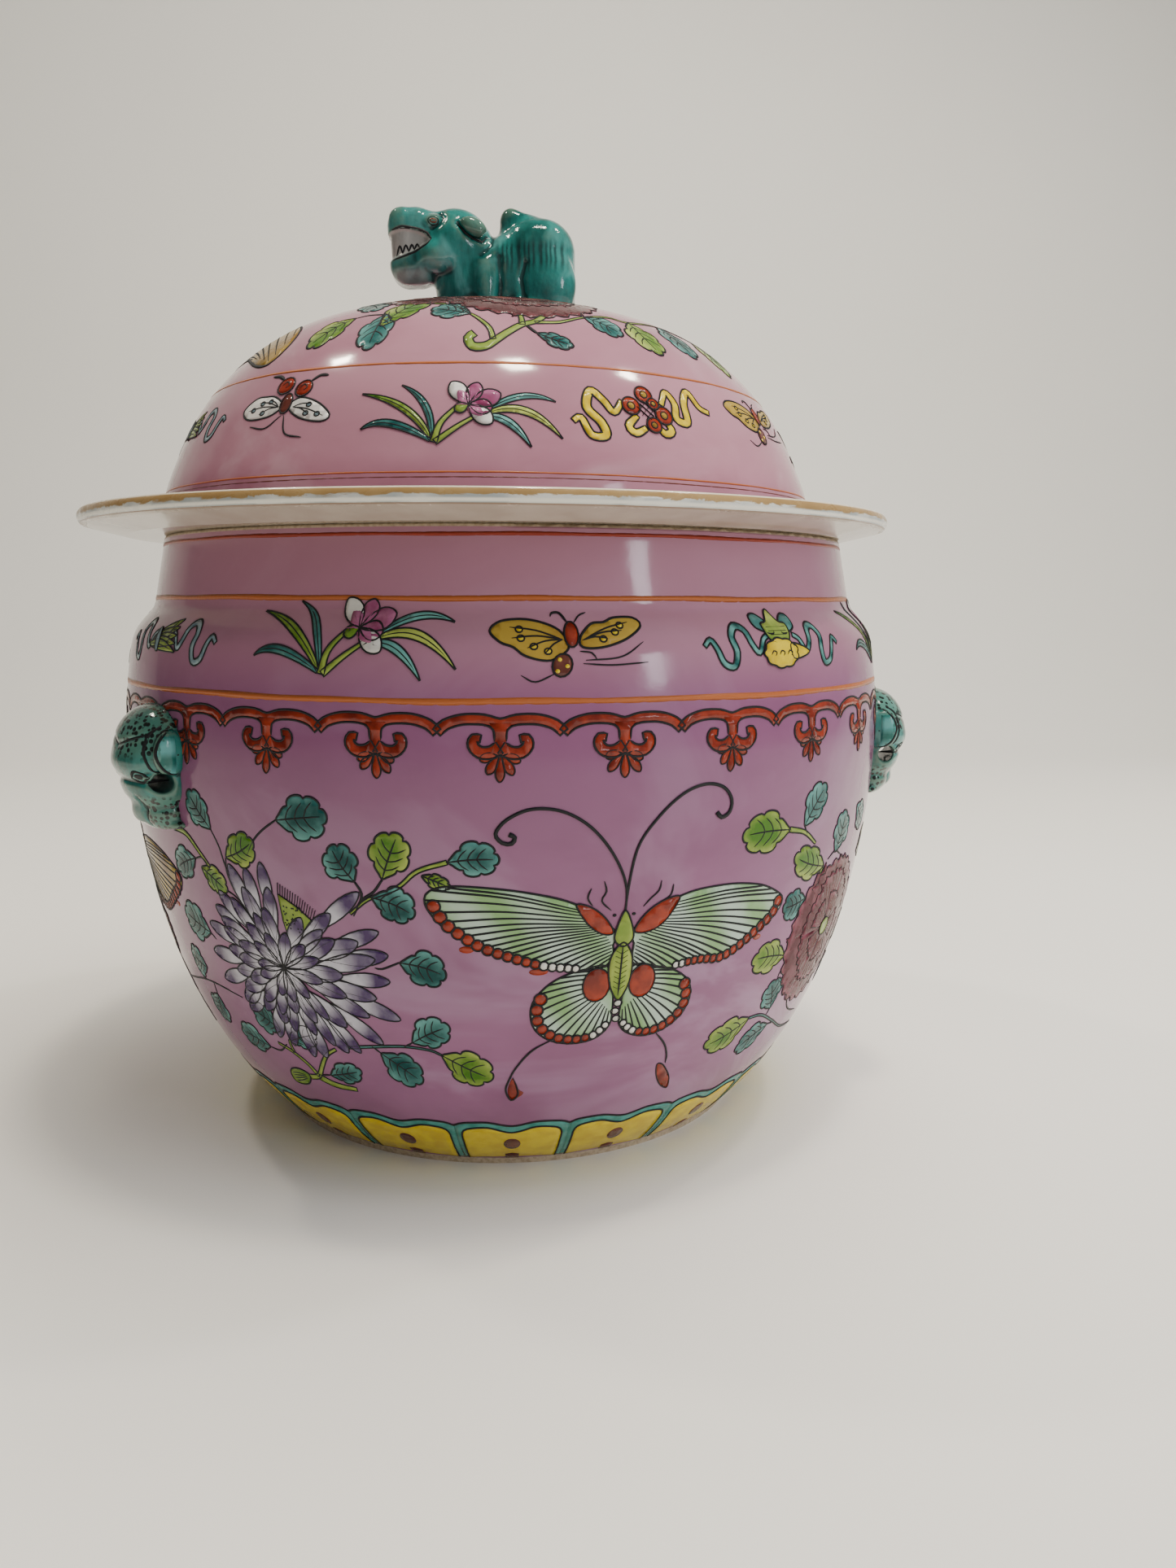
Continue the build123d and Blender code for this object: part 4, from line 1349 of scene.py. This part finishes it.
def lid_top(zone, turn):
    """A peony spray on the dome, with the striped wing of a moth beside it."""
    rng = random.Random(9)
    whole = Place(TOP, 0, 0, turn)
    for width, colour, points in TOP_STEMS:
        twig(zone, whole, points, width, colour)
    for stalk, tip, width, colour in TOP_LEAVES:
        leaf_from(zone, whole, stalk, tip, width, colour, rng)
    peony(zone, whole.at(8.0, -50.0, 90, lift=0.06), 23.0, "plum")
    peony(zone, whole.at(-14.0, -46.0, 60, lift=0.02), 17.0, "plum")
    zone.outlined(whole, smooth(STRIPED_WING, 2.0, closed=True), "ochre", 0.10, 0.6, None, 3.0)
    spine = np.array(STRIPED_WING[:2]).mean(0)
    for number in range(9):
        share = (number + 0.5) / 9
        end = part_way([(-72, -40), (-61.5, -60), (-55, -50)], [share])[0]
        middle = (spine + end) / 2 + (np.array([-5.0, 0.0]) * (0.5 - share) * 3)
        zone.line(whole, smooth([spine + (share * 6 - 1, -2), middle, end], 2.2), 0.42, 0.17)


def paint_lid():
    rings = Zone("lid_lines", "lid")
    band_top, band_foot, dome_foot = 36.2, 3.2, 1.9
    full_ring(rings, DOME, band_top, 0.9, "orange")
    full_ring(rings, DOME, band_foot, 0.5, "orange")
    full_ring(rings, DOME, dome_foot, 0.3, "brown_line", 0.08)
    rings.build()
    band = Zone("lid_band", "lid")
    along_dome = {orchid: 12.0, golden_moth: 26.0, spotted_bee: 27.0, endless_knot: 22.0,
                  brush_bundle: 22.0}
    motifs = [spotted_bee, orchid, endless_knot, golden_moth, orchid, brush_bundle] * 2
    around(band, DOME, 236.0, along_dome, motifs, 0.95, orchid_shift=-6.5)
    band.build()
    for turn in (0, 180):
        top = Zone(f"lid_top_{turn}", "lid")
        lid_top(top, turn)
        top.build()


paint_jar()
paint_lid()


# ---------------------------------------------------------------- modelled pieces
def leaned(points, centre, lean):
    """Points about a centre, turned about Y by an angle in degrees."""
    off = points - np.asarray(centre, float)
    cosine, sine = math.cos(lean * DEG), math.sin(lean * DEG)
    return np.stack([off[..., 0] * cosine - off[..., 2] * sine, off[..., 1],
                     off[..., 0] * sine + off[..., 2] * cosine], -1)


def swell(points, centre, radii, lean=0.0):
    """Roughly the distance in mm to an ellipsoid."""
    off = leaned(points, centre, lean)
    near = np.linalg.norm(off / radii, axis=-1)
    far = np.linalg.norm(off / np.square(radii), axis=-1)
    return near * (near - 1) / np.maximum(far, 1e-6)


def block(points, centre, half, rounding, lean=0.0):
    """The distance in mm to a box with rounded edges."""
    over = np.abs(leaned(points, centre, lean)) - (np.asarray(half, float) - rounding)
    return np.linalg.norm(np.maximum(over, 0), axis=-1) + np.minimum(over.max(-1), 0) - rounding


def joined(first, second, blend):
    """Two shapes run together with a soft hollow between them."""
    share = np.clip(0.5 + 0.5 * (second - first) / blend, 0, 1)
    return second * (1 - share) + first * share - blend * share * (1 - share)


def gathered(shape, points, lumps):
    """The shape with lumps run into it, each with its centre, radii, lean and blend."""
    for centre, radii, lean, blend in lumps:
        shape = joined(shape, swell(points, centre, radii, lean), blend)
    return shape


def carved(shape, cutter, blend):
    """The shape with the cutter taken away and the edge between them softened."""
    return -joined(-shape, cutter, blend)


def scored(shape, points, plane, path, depth, width):
    """A shallow crease along a line that is drawn on one of the coordinate planes."""
    flat = points[..., plane]
    best = np.full(flat.shape[:-1], 1e9)
    path = np.asarray(path, float)
    for start, end in zip(path, path[1:]):
        run = end - start
        share = np.clip((flat - start) @ run / (run @ run), 0, 1)
        best = np.minimum(best, np.linalg.norm(flat - start - share[..., None] * run, axis=-1))
    return shape + depth * np.exp(-np.square(best / width))


def modelled(shape, low, high, step):
    """Points and quads of the surface where shape(points) is zero, in mm."""
    axes = [np.arange(a, b + step, step) for a, b in zip(low, high)]
    grid = np.stack(np.meshgrid(*axes, indexing="ij"), -1)
    field = shape(grid)
    size = np.array(field.shape) - 1
    total = np.zeros((*size, 3))
    count = np.zeros(size)
    crossings = []
    for axis in range(3):
        across = [a for a in range(3) if a != axis]
        ahead = np.take(field, range(1, field.shape[axis]), axis)
        behind = np.take(field, range(field.shape[axis] - 1), axis)
        cross = (ahead < 0) != (behind < 0)
        share = np.where(cross, behind / np.where(cross, behind - ahead, 1), 0)
        crossings.append((cross, behind < 0))
        for one in (0, 1):
            for two in (0, 1):
                pick = [slice(None)] * 3
                pick[across[0]] = slice(one, one + size[across[0]])
                pick[across[1]] = slice(two, two + size[across[1]])
                hit = cross[tuple(pick)]
                offset = np.zeros((*size, 3))
                offset[..., axis] = share[tuple(pick)]
                offset[..., across[0]] = one
                offset[..., across[1]] = two
                total += offset * hit[..., None]
                count += hit
    active = count > 0
    number = np.full(size, -1)
    number[active] = np.arange(active.sum())
    cells = np.argwhere(active)
    points = np.asarray(low) + (cells + total[active] / count[active][:, None]) * step
    faces = []
    for axis, (cross, inside) in enumerate(crossings):
        one, two = [(1, 2), (2, 0), (0, 1)][axis]
        spots = np.argwhere(cross)
        for way in (one, two):
            spots = spots[(spots[:, way] > 0) & (spots[:, way] < size[way])]
        quad = []
        for step_one, step_two in ((1, 1), (0, 1), (0, 0), (1, 0)):
            cell = spots.copy()
            cell[:, one] -= step_one
            cell[:, two] -= step_two
            quad.append(number[tuple(cell.T)])
        quad = np.stack(quad, -1)
        flip = ~inside[tuple(spots.T)]
        quad[flip] = quad[flip][:, ::-1]
        faces.append(quad)
    nudge, longest_move = 0.05, 0.3
    for _ in range(2):
        ahead = [shape(points + way) for way in np.eye(3) * nudge]
        behind = [shape(points - way) for way in np.eye(3) * nudge]
        slope = (np.stack(ahead, -1) - np.stack(behind, -1)) / (2 * nudge)
        steep = np.maximum(np.sum(slope**2, -1), 0.2)
        move = np.clip(shape(points) / steep, -longest_move, longest_move)
        points = points - move[:, None] * slope
    return points, np.vstack(faces)


def relief(points, faces):
    """How far each point stands out from its neighbours, about -1 to 1."""
    passes, full_relief = 6, 0.02
    total = np.zeros_like(points)
    count = np.zeros(len(points))
    normal = np.zeros_like(points)
    corner = points[faces]
    facing = np.cross(corner[:, 2] - corner[:, 0], corner[:, 3] - corner[:, 1])
    for k in range(4):
        np.add.at(total, faces[:, k], points[faces[:, (k + 1) % 4]] + points[faces[:, (k + 3) % 4]])
        np.add.at(count, faces[:, k], 2)
        np.add.at(normal, faces[:, k], facing)
    normal /= np.maximum(np.linalg.norm(normal, axis=1), 1e-9)[:, None]
    height = np.sum((points - total / count[:, None]) * normal, -1)
    for _ in range(passes):
        spread = np.zeros(len(points))
        for k in range(4):
            np.add.at(spread, faces[:, k], height[faces[:, (k + 1) % 4]] + height[faces[:, (k + 3) % 4]])
        height = 0.5 * height + 0.5 * spread / count
    return np.clip(height / full_relief, -1, 1)


def glazed_piece(name, body, points, faces, material, layers):
    """A piece of green-glazed porcelain from points in mm."""
    return add_piece(name, points * MM, faces.tolist(), layers, material, body)


class Seen:
    """A modelled surface as seen along one direction, so that it can be painted on."""

    def __init__(self, points, faces, frame_of, towards):
        self.tree = BVHTree.FromPolygons([tuple(p) for p in points], faces.tolist())
        self.frame_of = frame_of
        self.towards = Vector(towards)
        self.turn = Matrix.Identity(3)

    def points(self, x, y, lift):
        x, y, lift = np.broadcast_arrays(x, y, lift)
        back, near = 60, 45
        found = []
        for across, up, height in zip(x, y, lift):
            start = Vector(self.frame_of(across, up)) - self.towards * back
            hit, normal = self.tree.ray_cast(start, self.towards)[:2]
            if hit is None:
                hit, normal = self.tree.find_nearest(start + self.towards * near)[:2]
            if normal.dot(self.towards) > 0:
                normal = -normal
            found.append(self.turn @ (hit + normal * float(height)))
        return np.array([tuple(p) for p in found]) * MM


def green_glaze(name, speckled):
    """Thick turquoise glaze in runs, greyer on its edges and darkest in its hollows."""
    build = Nodes(name)
    thin = build.attribute("relief")
    runs = build.ramp(build.noise(150.0, 5.0, (1, 1, 0.3), 0.6), 0.32, 0.68)
    drift = build.ramp(build.noise(60.0, 3.0, (1, 1, 0.6), distortion=1.2), 0.42, 0.66)
    base = build.mix(runs, (0.003, 0.070, 0.060), (0.012, 0.185, 0.160))
    base = build.mix(build.times(drift, 0.6), base, (0.105, 0.330, 0.310))
    if speckled:
        crown = build.times(build.attribute("speckle"), 0.6)
        base = build.mix(crown, base, (0.085, 0.190, 0.140))
    ragged = build.times(build.noise(300.0, 3.0), 0.8)
    edge = build.ramp(build.math("ADD", thin, ragged), 0.60, 1.40)
    base = build.mix(build.times(edge, 0.55), base, (0.11, 0.17, 0.115))
    hollow = build.ramp(build.times(thin, -1.0), 0.12, 0.9)
    base = build.mix(build.times(hollow, 0.85), base, (0.003, 0.026, 0.024))
    # Dark stripes down the lion's back, and painted shade inside the lugs' bail holes.
    base = build.mix(build.times(build.attribute("stripes_and_hole_shade"), 0.8), base, (0.004, 0.022, 0.022))
    bare = build.mix(runs, (0.26, 0.265, 0.25), (0.40, 0.40, 0.375))
    base = build.mix(build.attribute("mouth"), base, bare)
    if speckled:
        dots = build.node("ShaderNodeTexVoronoi", feature="F1")
        dots.inputs["Scale"].default_value = 640.0
        dots.inputs["Randomness"].default_value = 0.8
        build.link(build.position, dots.inputs["Vector"])
        ragged = build.times(build.noise(900.0, 2.0), 0.2)
        near = build.math("ADD", dots.outputs["Distance"], ragged)
        spot = build.math("SUBTRACT", 1.0, build.ramp(near, 0.46, 0.60))
        spot = build.times(spot, build.attribute("speckle"))
        base = build.mix(spot, base, (0.006, 0.010, 0.008))
    build.bump(build.noise(260.0, 4.0), 0.5, 0.0006)
    matt = build.times(build.attribute("stripes_and_hole_shade"), 0.5 if speckled else 0.0)
    return build.finish(base, build.math("ADD", build.blend(runs, 0.06, 0.15), matt), coat=0.3, shine=0.4)


# Edges of the lion's open mouth, as x and z in mm.
MOUTH_X = [-39.0, -36.0, -33.0, -28.2, -25.6, -24.2]
MOUTH_BACK = MOUTH_X[-1]
UPPER_LIP = [283.6, 284.4, 284.8, 284.0, 282.8, 281.0]
LOWER_LIP = [274.8, 275.6, 276.4, 278.2, 279.6, 280.8]
# The middle of the lion's eye and the curl inside its ear, likewise.
EYE = (-23.2, 286.8)
EAR_CURL = [(-15.4, 285.6), (-13.0, 282.9), (-10.6, 281.6), (-7.8, 281.0), (-6.6, 282.6)]


def in_mouth(points):
    """How far in mm a point lies inside the outline of the lion's mouth, seen from its side."""
    x, z = points[..., 0], points[..., 2]
    return np.minimum(np.interp(x, MOUTH_X, UPPER_LIP) - z, z - np.interp(x, MOUTH_X, LOWER_LIP))


def lion_shape(points):
    """The crouching guardian lion on the lid, facing -X."""
    p = points.copy()
    p[..., 1] = np.abs(p[..., 1])
    shape = block(p, (10.4, 0, 271.0), (12.3, 12.2, 19.2), 11.0)
    chest_haunches_and_legs = (
        ((-3.0, 0, 270.5), (11.5, 11.4, 14.4), 0, 4.0),
        ((-11.5, 0, 268.0), (11.6, 11.2, 16.0), 0, 4.0),
        ((14.2, 8.4, 267.5), (8.4, 5.8, 11.0), 6, 2.2),
        ((7.4, 10.6, 259.6), (8.0, 3.8, 3.8), 0, 1.8),
        ((-6.6, 9.0, 267.0), (4.2, 4.2, 10.0), -3, 1.8),
        ((-10.0, 9.4, 259.6), (6.6, 4.2, 3.6), 0, 1.6),
    )
    shape = gathered(shape, p, chest_haunches_and_legs)
    tail = joined(swell(p, (1.5, 0, 287.8), (3.4, 4.4, 5.7)),
                  swell(p, (6.4, 0, 288.6), (7.6, 4.8, 3.4), 20), 2.4)
    shape = joined(shape, tail, 2.6)
    head = swell(p, (-16.4, 0, 281.4), (11.8, 11.8, 11.6))
    head = joined(head, block(p, (-30.3, 0, 280.6), (7.8, 8.4, 12.0), 6.0, -3), 4.5)
    cheek_nose_and_eye = (
        ((-21.8, 8.0, 276.6), (6.2, 4.4, 5.0), 0, 2.5),
        ((-34.2, 3.8, 289.4), (3.0, 3.0, 2.4), 0, 1.6),
        ((-23.4, 6.8, 287.0), (3.4, 2.6, 2.2), 0, 1.2),
    )
    head = gathered(head, p, cheek_nose_and_eye)
    shape = joined(shape, head, 3.0)
    shape = joined(shape, swell(p, (-10.4, 10.4, 284.6), (4.6, 2.6, 3.0), 24), 1.0)
    shape = shape + 0.8 * np.clip(in_mouth(p) / 0.9, 0, 1) * (p[..., 0] < MOUTH_BACK)
    for path, depth, width in (
        (EAR_CURL, 0.8, 0.8),
        ([(-23.4, 284.6), (-20.8, 285.6), (-19.8, 287.6), (-20.8, 289.4)], 0.5, 0.9),
        ([(-25.4, 272.6), (-22.0, 271.2), (-18.6, 271.6)], 0.35, 1.6),
        ([(-2.2, 276.0), (-1.8, 268.0), (-2.6, 260.0)], 0.7, 1.1),
        ([(6.2, 274.0), (5.0, 269.0), (6.0, 263.0)], 0.7, 1.1),
        ([(-4.0, 284.6), (-4.6, 280.0), (-7.6, 276.4)], 0.6, 1.3),
    ):
        shape = scored(shape, p, [0, 2], path, depth, width)
    seat = 255.4
    return np.maximum(shape, seat - p[..., 2])


def lion_layers(points, faces):
    """Where the lion is bare and pale, and where dark stripes of glaze run down its back."""
    x, side, z = points[:, 0], np.abs(points[:, 1]), points[:, 2]
    mouth = np.clip(in_mouth(points) / 0.5 + 0.3, 0, 1) * (x < -24.0)
    under_jaw = np.clip((273.4 - z) / 2.0, 0, 1) * np.clip((-24.0 - x) / 2.0, 0, 1)
    wave = 0.5 + 0.5 * np.sin(x * 3.6 + 1.3 * np.sin(x * 0.9) + 0.3 * np.sin(z))
    height = np.clip((z - 270.0) / 4.0, 0, 1) * np.clip((282.0 - z) / 3.0, 0, 1)
    along_back = np.clip((x + 4.0) / 2.0, 0, 1) * np.clip((20.5 - x) / 2.0, 0, 1)
    stripes_and_hole_shade = np.clip(wave * 1.8 - 0.5, 0, 1) * height * along_back * np.clip((side - 4.0) / 3.0, 0, 1)
    return {"relief": relief(points, faces), "mouth": np.maximum(mouth, 0.35 * under_jaw),
            "stripes_and_hole_shade": stripes_and_hole_shade}


def make_lion():
    points, faces = modelled(lion_shape, (-41, -16.5, 254), (26.5, 16.5, 296), step=0.45)
    layers = lion_layers(points, faces)
    glaze = green_glaze("lion_glaze", False)
    lion = glazed_piece("lion_finial_glazed", "lid", points, faces, glaze, layers)
    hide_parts("lion_finial")
    paint = Zone("lion_ink", "lid")
    for side in (-1, 1):
        seen = Seen(points, faces, lambda x, z, side=side: (x, side * 22.0, z), (0, -side, 0))
        place = Place(seen, 0, 0)
        for line, width in (
            ([(-36.6, 284.4), (-33.0, 285.0), (-28.2, 284.3), (-25.4, 283.1), (-23.8, 281.0)], 0.8),
            ([(-36.4, 275.2), (-33.0, 276.1), (-28.2, 277.9), (-25.4, 279.3), (-23.8, 281.0)], 0.6),
            ([(-35.2, 276.4), (-34.2, 279.4), (-33.2, 277.0)], 0.5),
            ([(-33.2, 277.0), (-32.2, 279.6), (-31.2, 277.5)], 0.5),
            ([(-31.2, 277.5), (-30.3, 279.8), (-29.4, 278.1)], 0.5),
            ([(-29.4, 278.1), (-28.6, 280.0), (-27.8, 278.8)], 0.45),
            (EAR_CURL, 0.6),
        ):
            paint.line(place, smooth(line, 0.8), width, 0.08)
        ring = smooth(ellipse(EYE, (1.7, 1.3), 12, -0.2), 0.6, closed=True)
        paint.line(place, ring, 0.22, 0.08, closed=True)
        pupil = ellipse(EYE, (1.2, 0.8), 12, -0.2)
        paint["brown"].sheet(place, pupil, 0.03, even(0.9), 0.8)
    paint.build()


LUGS = {"mask_lug_right_front": -9.0, "mask_lug_right_back": 37.0, "mask_lug_left_back": 171.0,
        "mask_lug_left_front": 217.0}
BAIL_HOLE = (128.0, 117.0, 2.7)     # distance from the jar's axis, height, radius


def lug_shape(points):
    """One animal mask facing +X, run down into the body's wall at its back."""
    p = points.copy()
    p[..., 1] = np.abs(p[..., 1])
    shape = swell(p, (123.6, 0, 125.4), (11.6, 16.2, 12.7))
    brow_cheeks_and_muzzle = (
        ((130.0, 0, 122.0), (5.6, 11.4, 4.4), 0, 3.0),
        ((124.6, 0, 114.4), (7.6, 13.6, 6.4), 0, 2.5),
        ((124.2, 0, 108.0), (6.4, 11.6, 5.4), 0, 2.0),
        ((122.6, 0, 104.6), (4.6, 13.4, 2.2), 0, 1.6),
        ((129.4, 0, 108.4), (2.4, 4.2, 3.6), 0, 0.8),
        ((124.4, 0, 116.8), (9.6, 14.2, 8.4), 0, 2.0),
        ((130.0, 8.8, 118.6), (2.4, 3.4, 1.6), 0, 0.8),
        ((126.6, 14.9, 125.2), (4.4, 1.9, 6.2), 0, 0.9),
    )
    shape = gathered(shape, p, brow_cheeks_and_muzzle)
    for path, depth, width in (
        ([(0, 127.2), (5, 128.6), (10.6, 130.2)], 0.45, 0.8),
        ([(0, 117.6), (5, 117.2), (11.0, 116.6)], 0.5, 1.0),
        ([(4.4, 112.4), (5.2, 108.4), (3.6, 104.6)], 0.5, 0.6),
    ):
        shape = scored(shape, p, [1, 2], path, depth, width)
    radius, height = np.hypot(p[..., 0], p[..., 1]), p[..., 2]
    wall = np.interp(height, WALL.along, WALL.radius)
    sunk = 3.0
    shape = np.maximum(shape, (wall - sunk) - radius)
    hole = np.hypot(p[..., 0] - BAIL_HOLE[0], height - BAIL_HOLE[1]) - BAIL_HOLE[2]
    return carved(shape, hole, 0.7)


def lug_layers(points, faces):
    """Where the mask is speckled, on its crown and cheeks, pale on its muzzle, and painted shade in its
    hole.
    """
    height = points[:, 2]
    side = np.abs(points[:, 1])
    crown = np.clip((height - 122.5) / 3.0, 0, 1) * np.clip((14.8 - side) / 1.0, 0, 1)
    chin = np.clip((113.6 - height) / 1.5, 0, 1) * np.clip((side - 4.0) / 1.0, 0, 1)
    in_hole = np.hypot(points[:, 0] - BAIL_HOLE[0], height - BAIL_HOLE[1])
    return {
        "relief": relief(points, faces),
        "mouth": 0.35 * np.clip((3.6 - side) / 0.6, 0, 1) * np.clip((111.4 - height) / 0.8, 0, 1),
        "speckle": np.maximum(crown, chin),
        # Painted shade: the inside of the bail hole is darkened.
        "stripes_and_hole_shade": np.clip((BAIL_HOLE[2] + 0.3 - in_hole) / 0.4, 0, 1),
    }


def make_lugs():
    points, faces = modelled(lug_shape, (116, -18, 101), (137.5, 18, 140.5), step=0.42)
    layers = lug_layers(points, faces)
    glaze = green_glaze("lug_glaze", True)
    front = Seen(points, faces, lambda u, z: (150.0, u, z), (-1, 0, 0))
    sides = [
        Seen(points, faces, lambda r, z, way=way: (r, way * 22.0, z), (0, -way, 0)) for way in (-1, 1)
    ]
    panel = [(124.9, 131.8), (127.4, 131.2), (129.8, 128.4), (130.6, 125.0), (129.2, 121.6),
             (126.8, 119.8), (125.0, 119.6)]
    panel = smooth(panel, 0.8)
    outer = [(127.2, 132.8), (130.6, 130.2), (132.2, 125.4), (131.0, 121.2), (128.4, 119.6)]
    inner = [(124.7, 131.6), (124.9, 125.0), (124.8, 119.6)]

    def banded(x, y):
        return 0.5 + 0.6 * np.sin(y * 0.8 + 0.4)

    for name, degrees in LUGS.items():
        turn = Matrix.Rotation(degrees * DEG, 3, "Z")
        turned_points = points @ np.array(turn).T
        lug = glazed_piece(name + "_glazed", "jar", turned_points, faces, glaze, layers)
        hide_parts(name)
        paint = Zone(name + "_ink", "jar")
        for seen in [front] + sides:
            seen.turn = turn
        for side in sides:
            place = Place(side, 0, 0)
            paint["bright_glaze"].sheet(place, panel, 0.05, banded, 1.2)
            paint.line(place, panel, 0.5, 0.11)
            paint.line(place, smooth(outer, 0.8), 0.5, 0.08)
            paint.line(place, inner, 0.5, 0.08)
        place = Place(front, 0, 0)
        for way in (-1, 1):
            for line, width in (
                ([(1.0, 127.4), (5.0, 128.6), (10.4, 130.2)], 0.5),
                ([(5.0, 118.0), (8.0, 120.2), (11.8, 118.6)], 0.6),
                ([(5.0, 118.0), (8.6, 117.0), (11.8, 118.6)], 0.6),
                ([(4.4, 112.0), (5.2, 108.4), (3.6, 104.8)], 0.5),
            ):
                path = smooth([(way * u, z) for u, z in line], 0.8)
                paint.line(place, path, width, 0.08)
            paint["black"].sheet(place, ellipse((way * 8.4, 118.7), (1.6, 0.8), 10), 0.04, None, 0.8)
        paint.build()


ENAMELS["bright_glaze"] = tinted_enamel("bright_glaze", (0.006, 0.115, 0.095), (0.12, 0.36, 0.35), 0.3,
                                        gloss=0.08)
make_lion()
make_lugs()


def dress(node, material):
    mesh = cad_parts[node].data
    mesh.materials.clear()
    mesh.materials.append(material)


dress("jar_body", jar_material())
dress("lid_shell", lid_material())
dress("lid_locating_ring", ring_material())
make_camera()
make_stage()
make_lights()
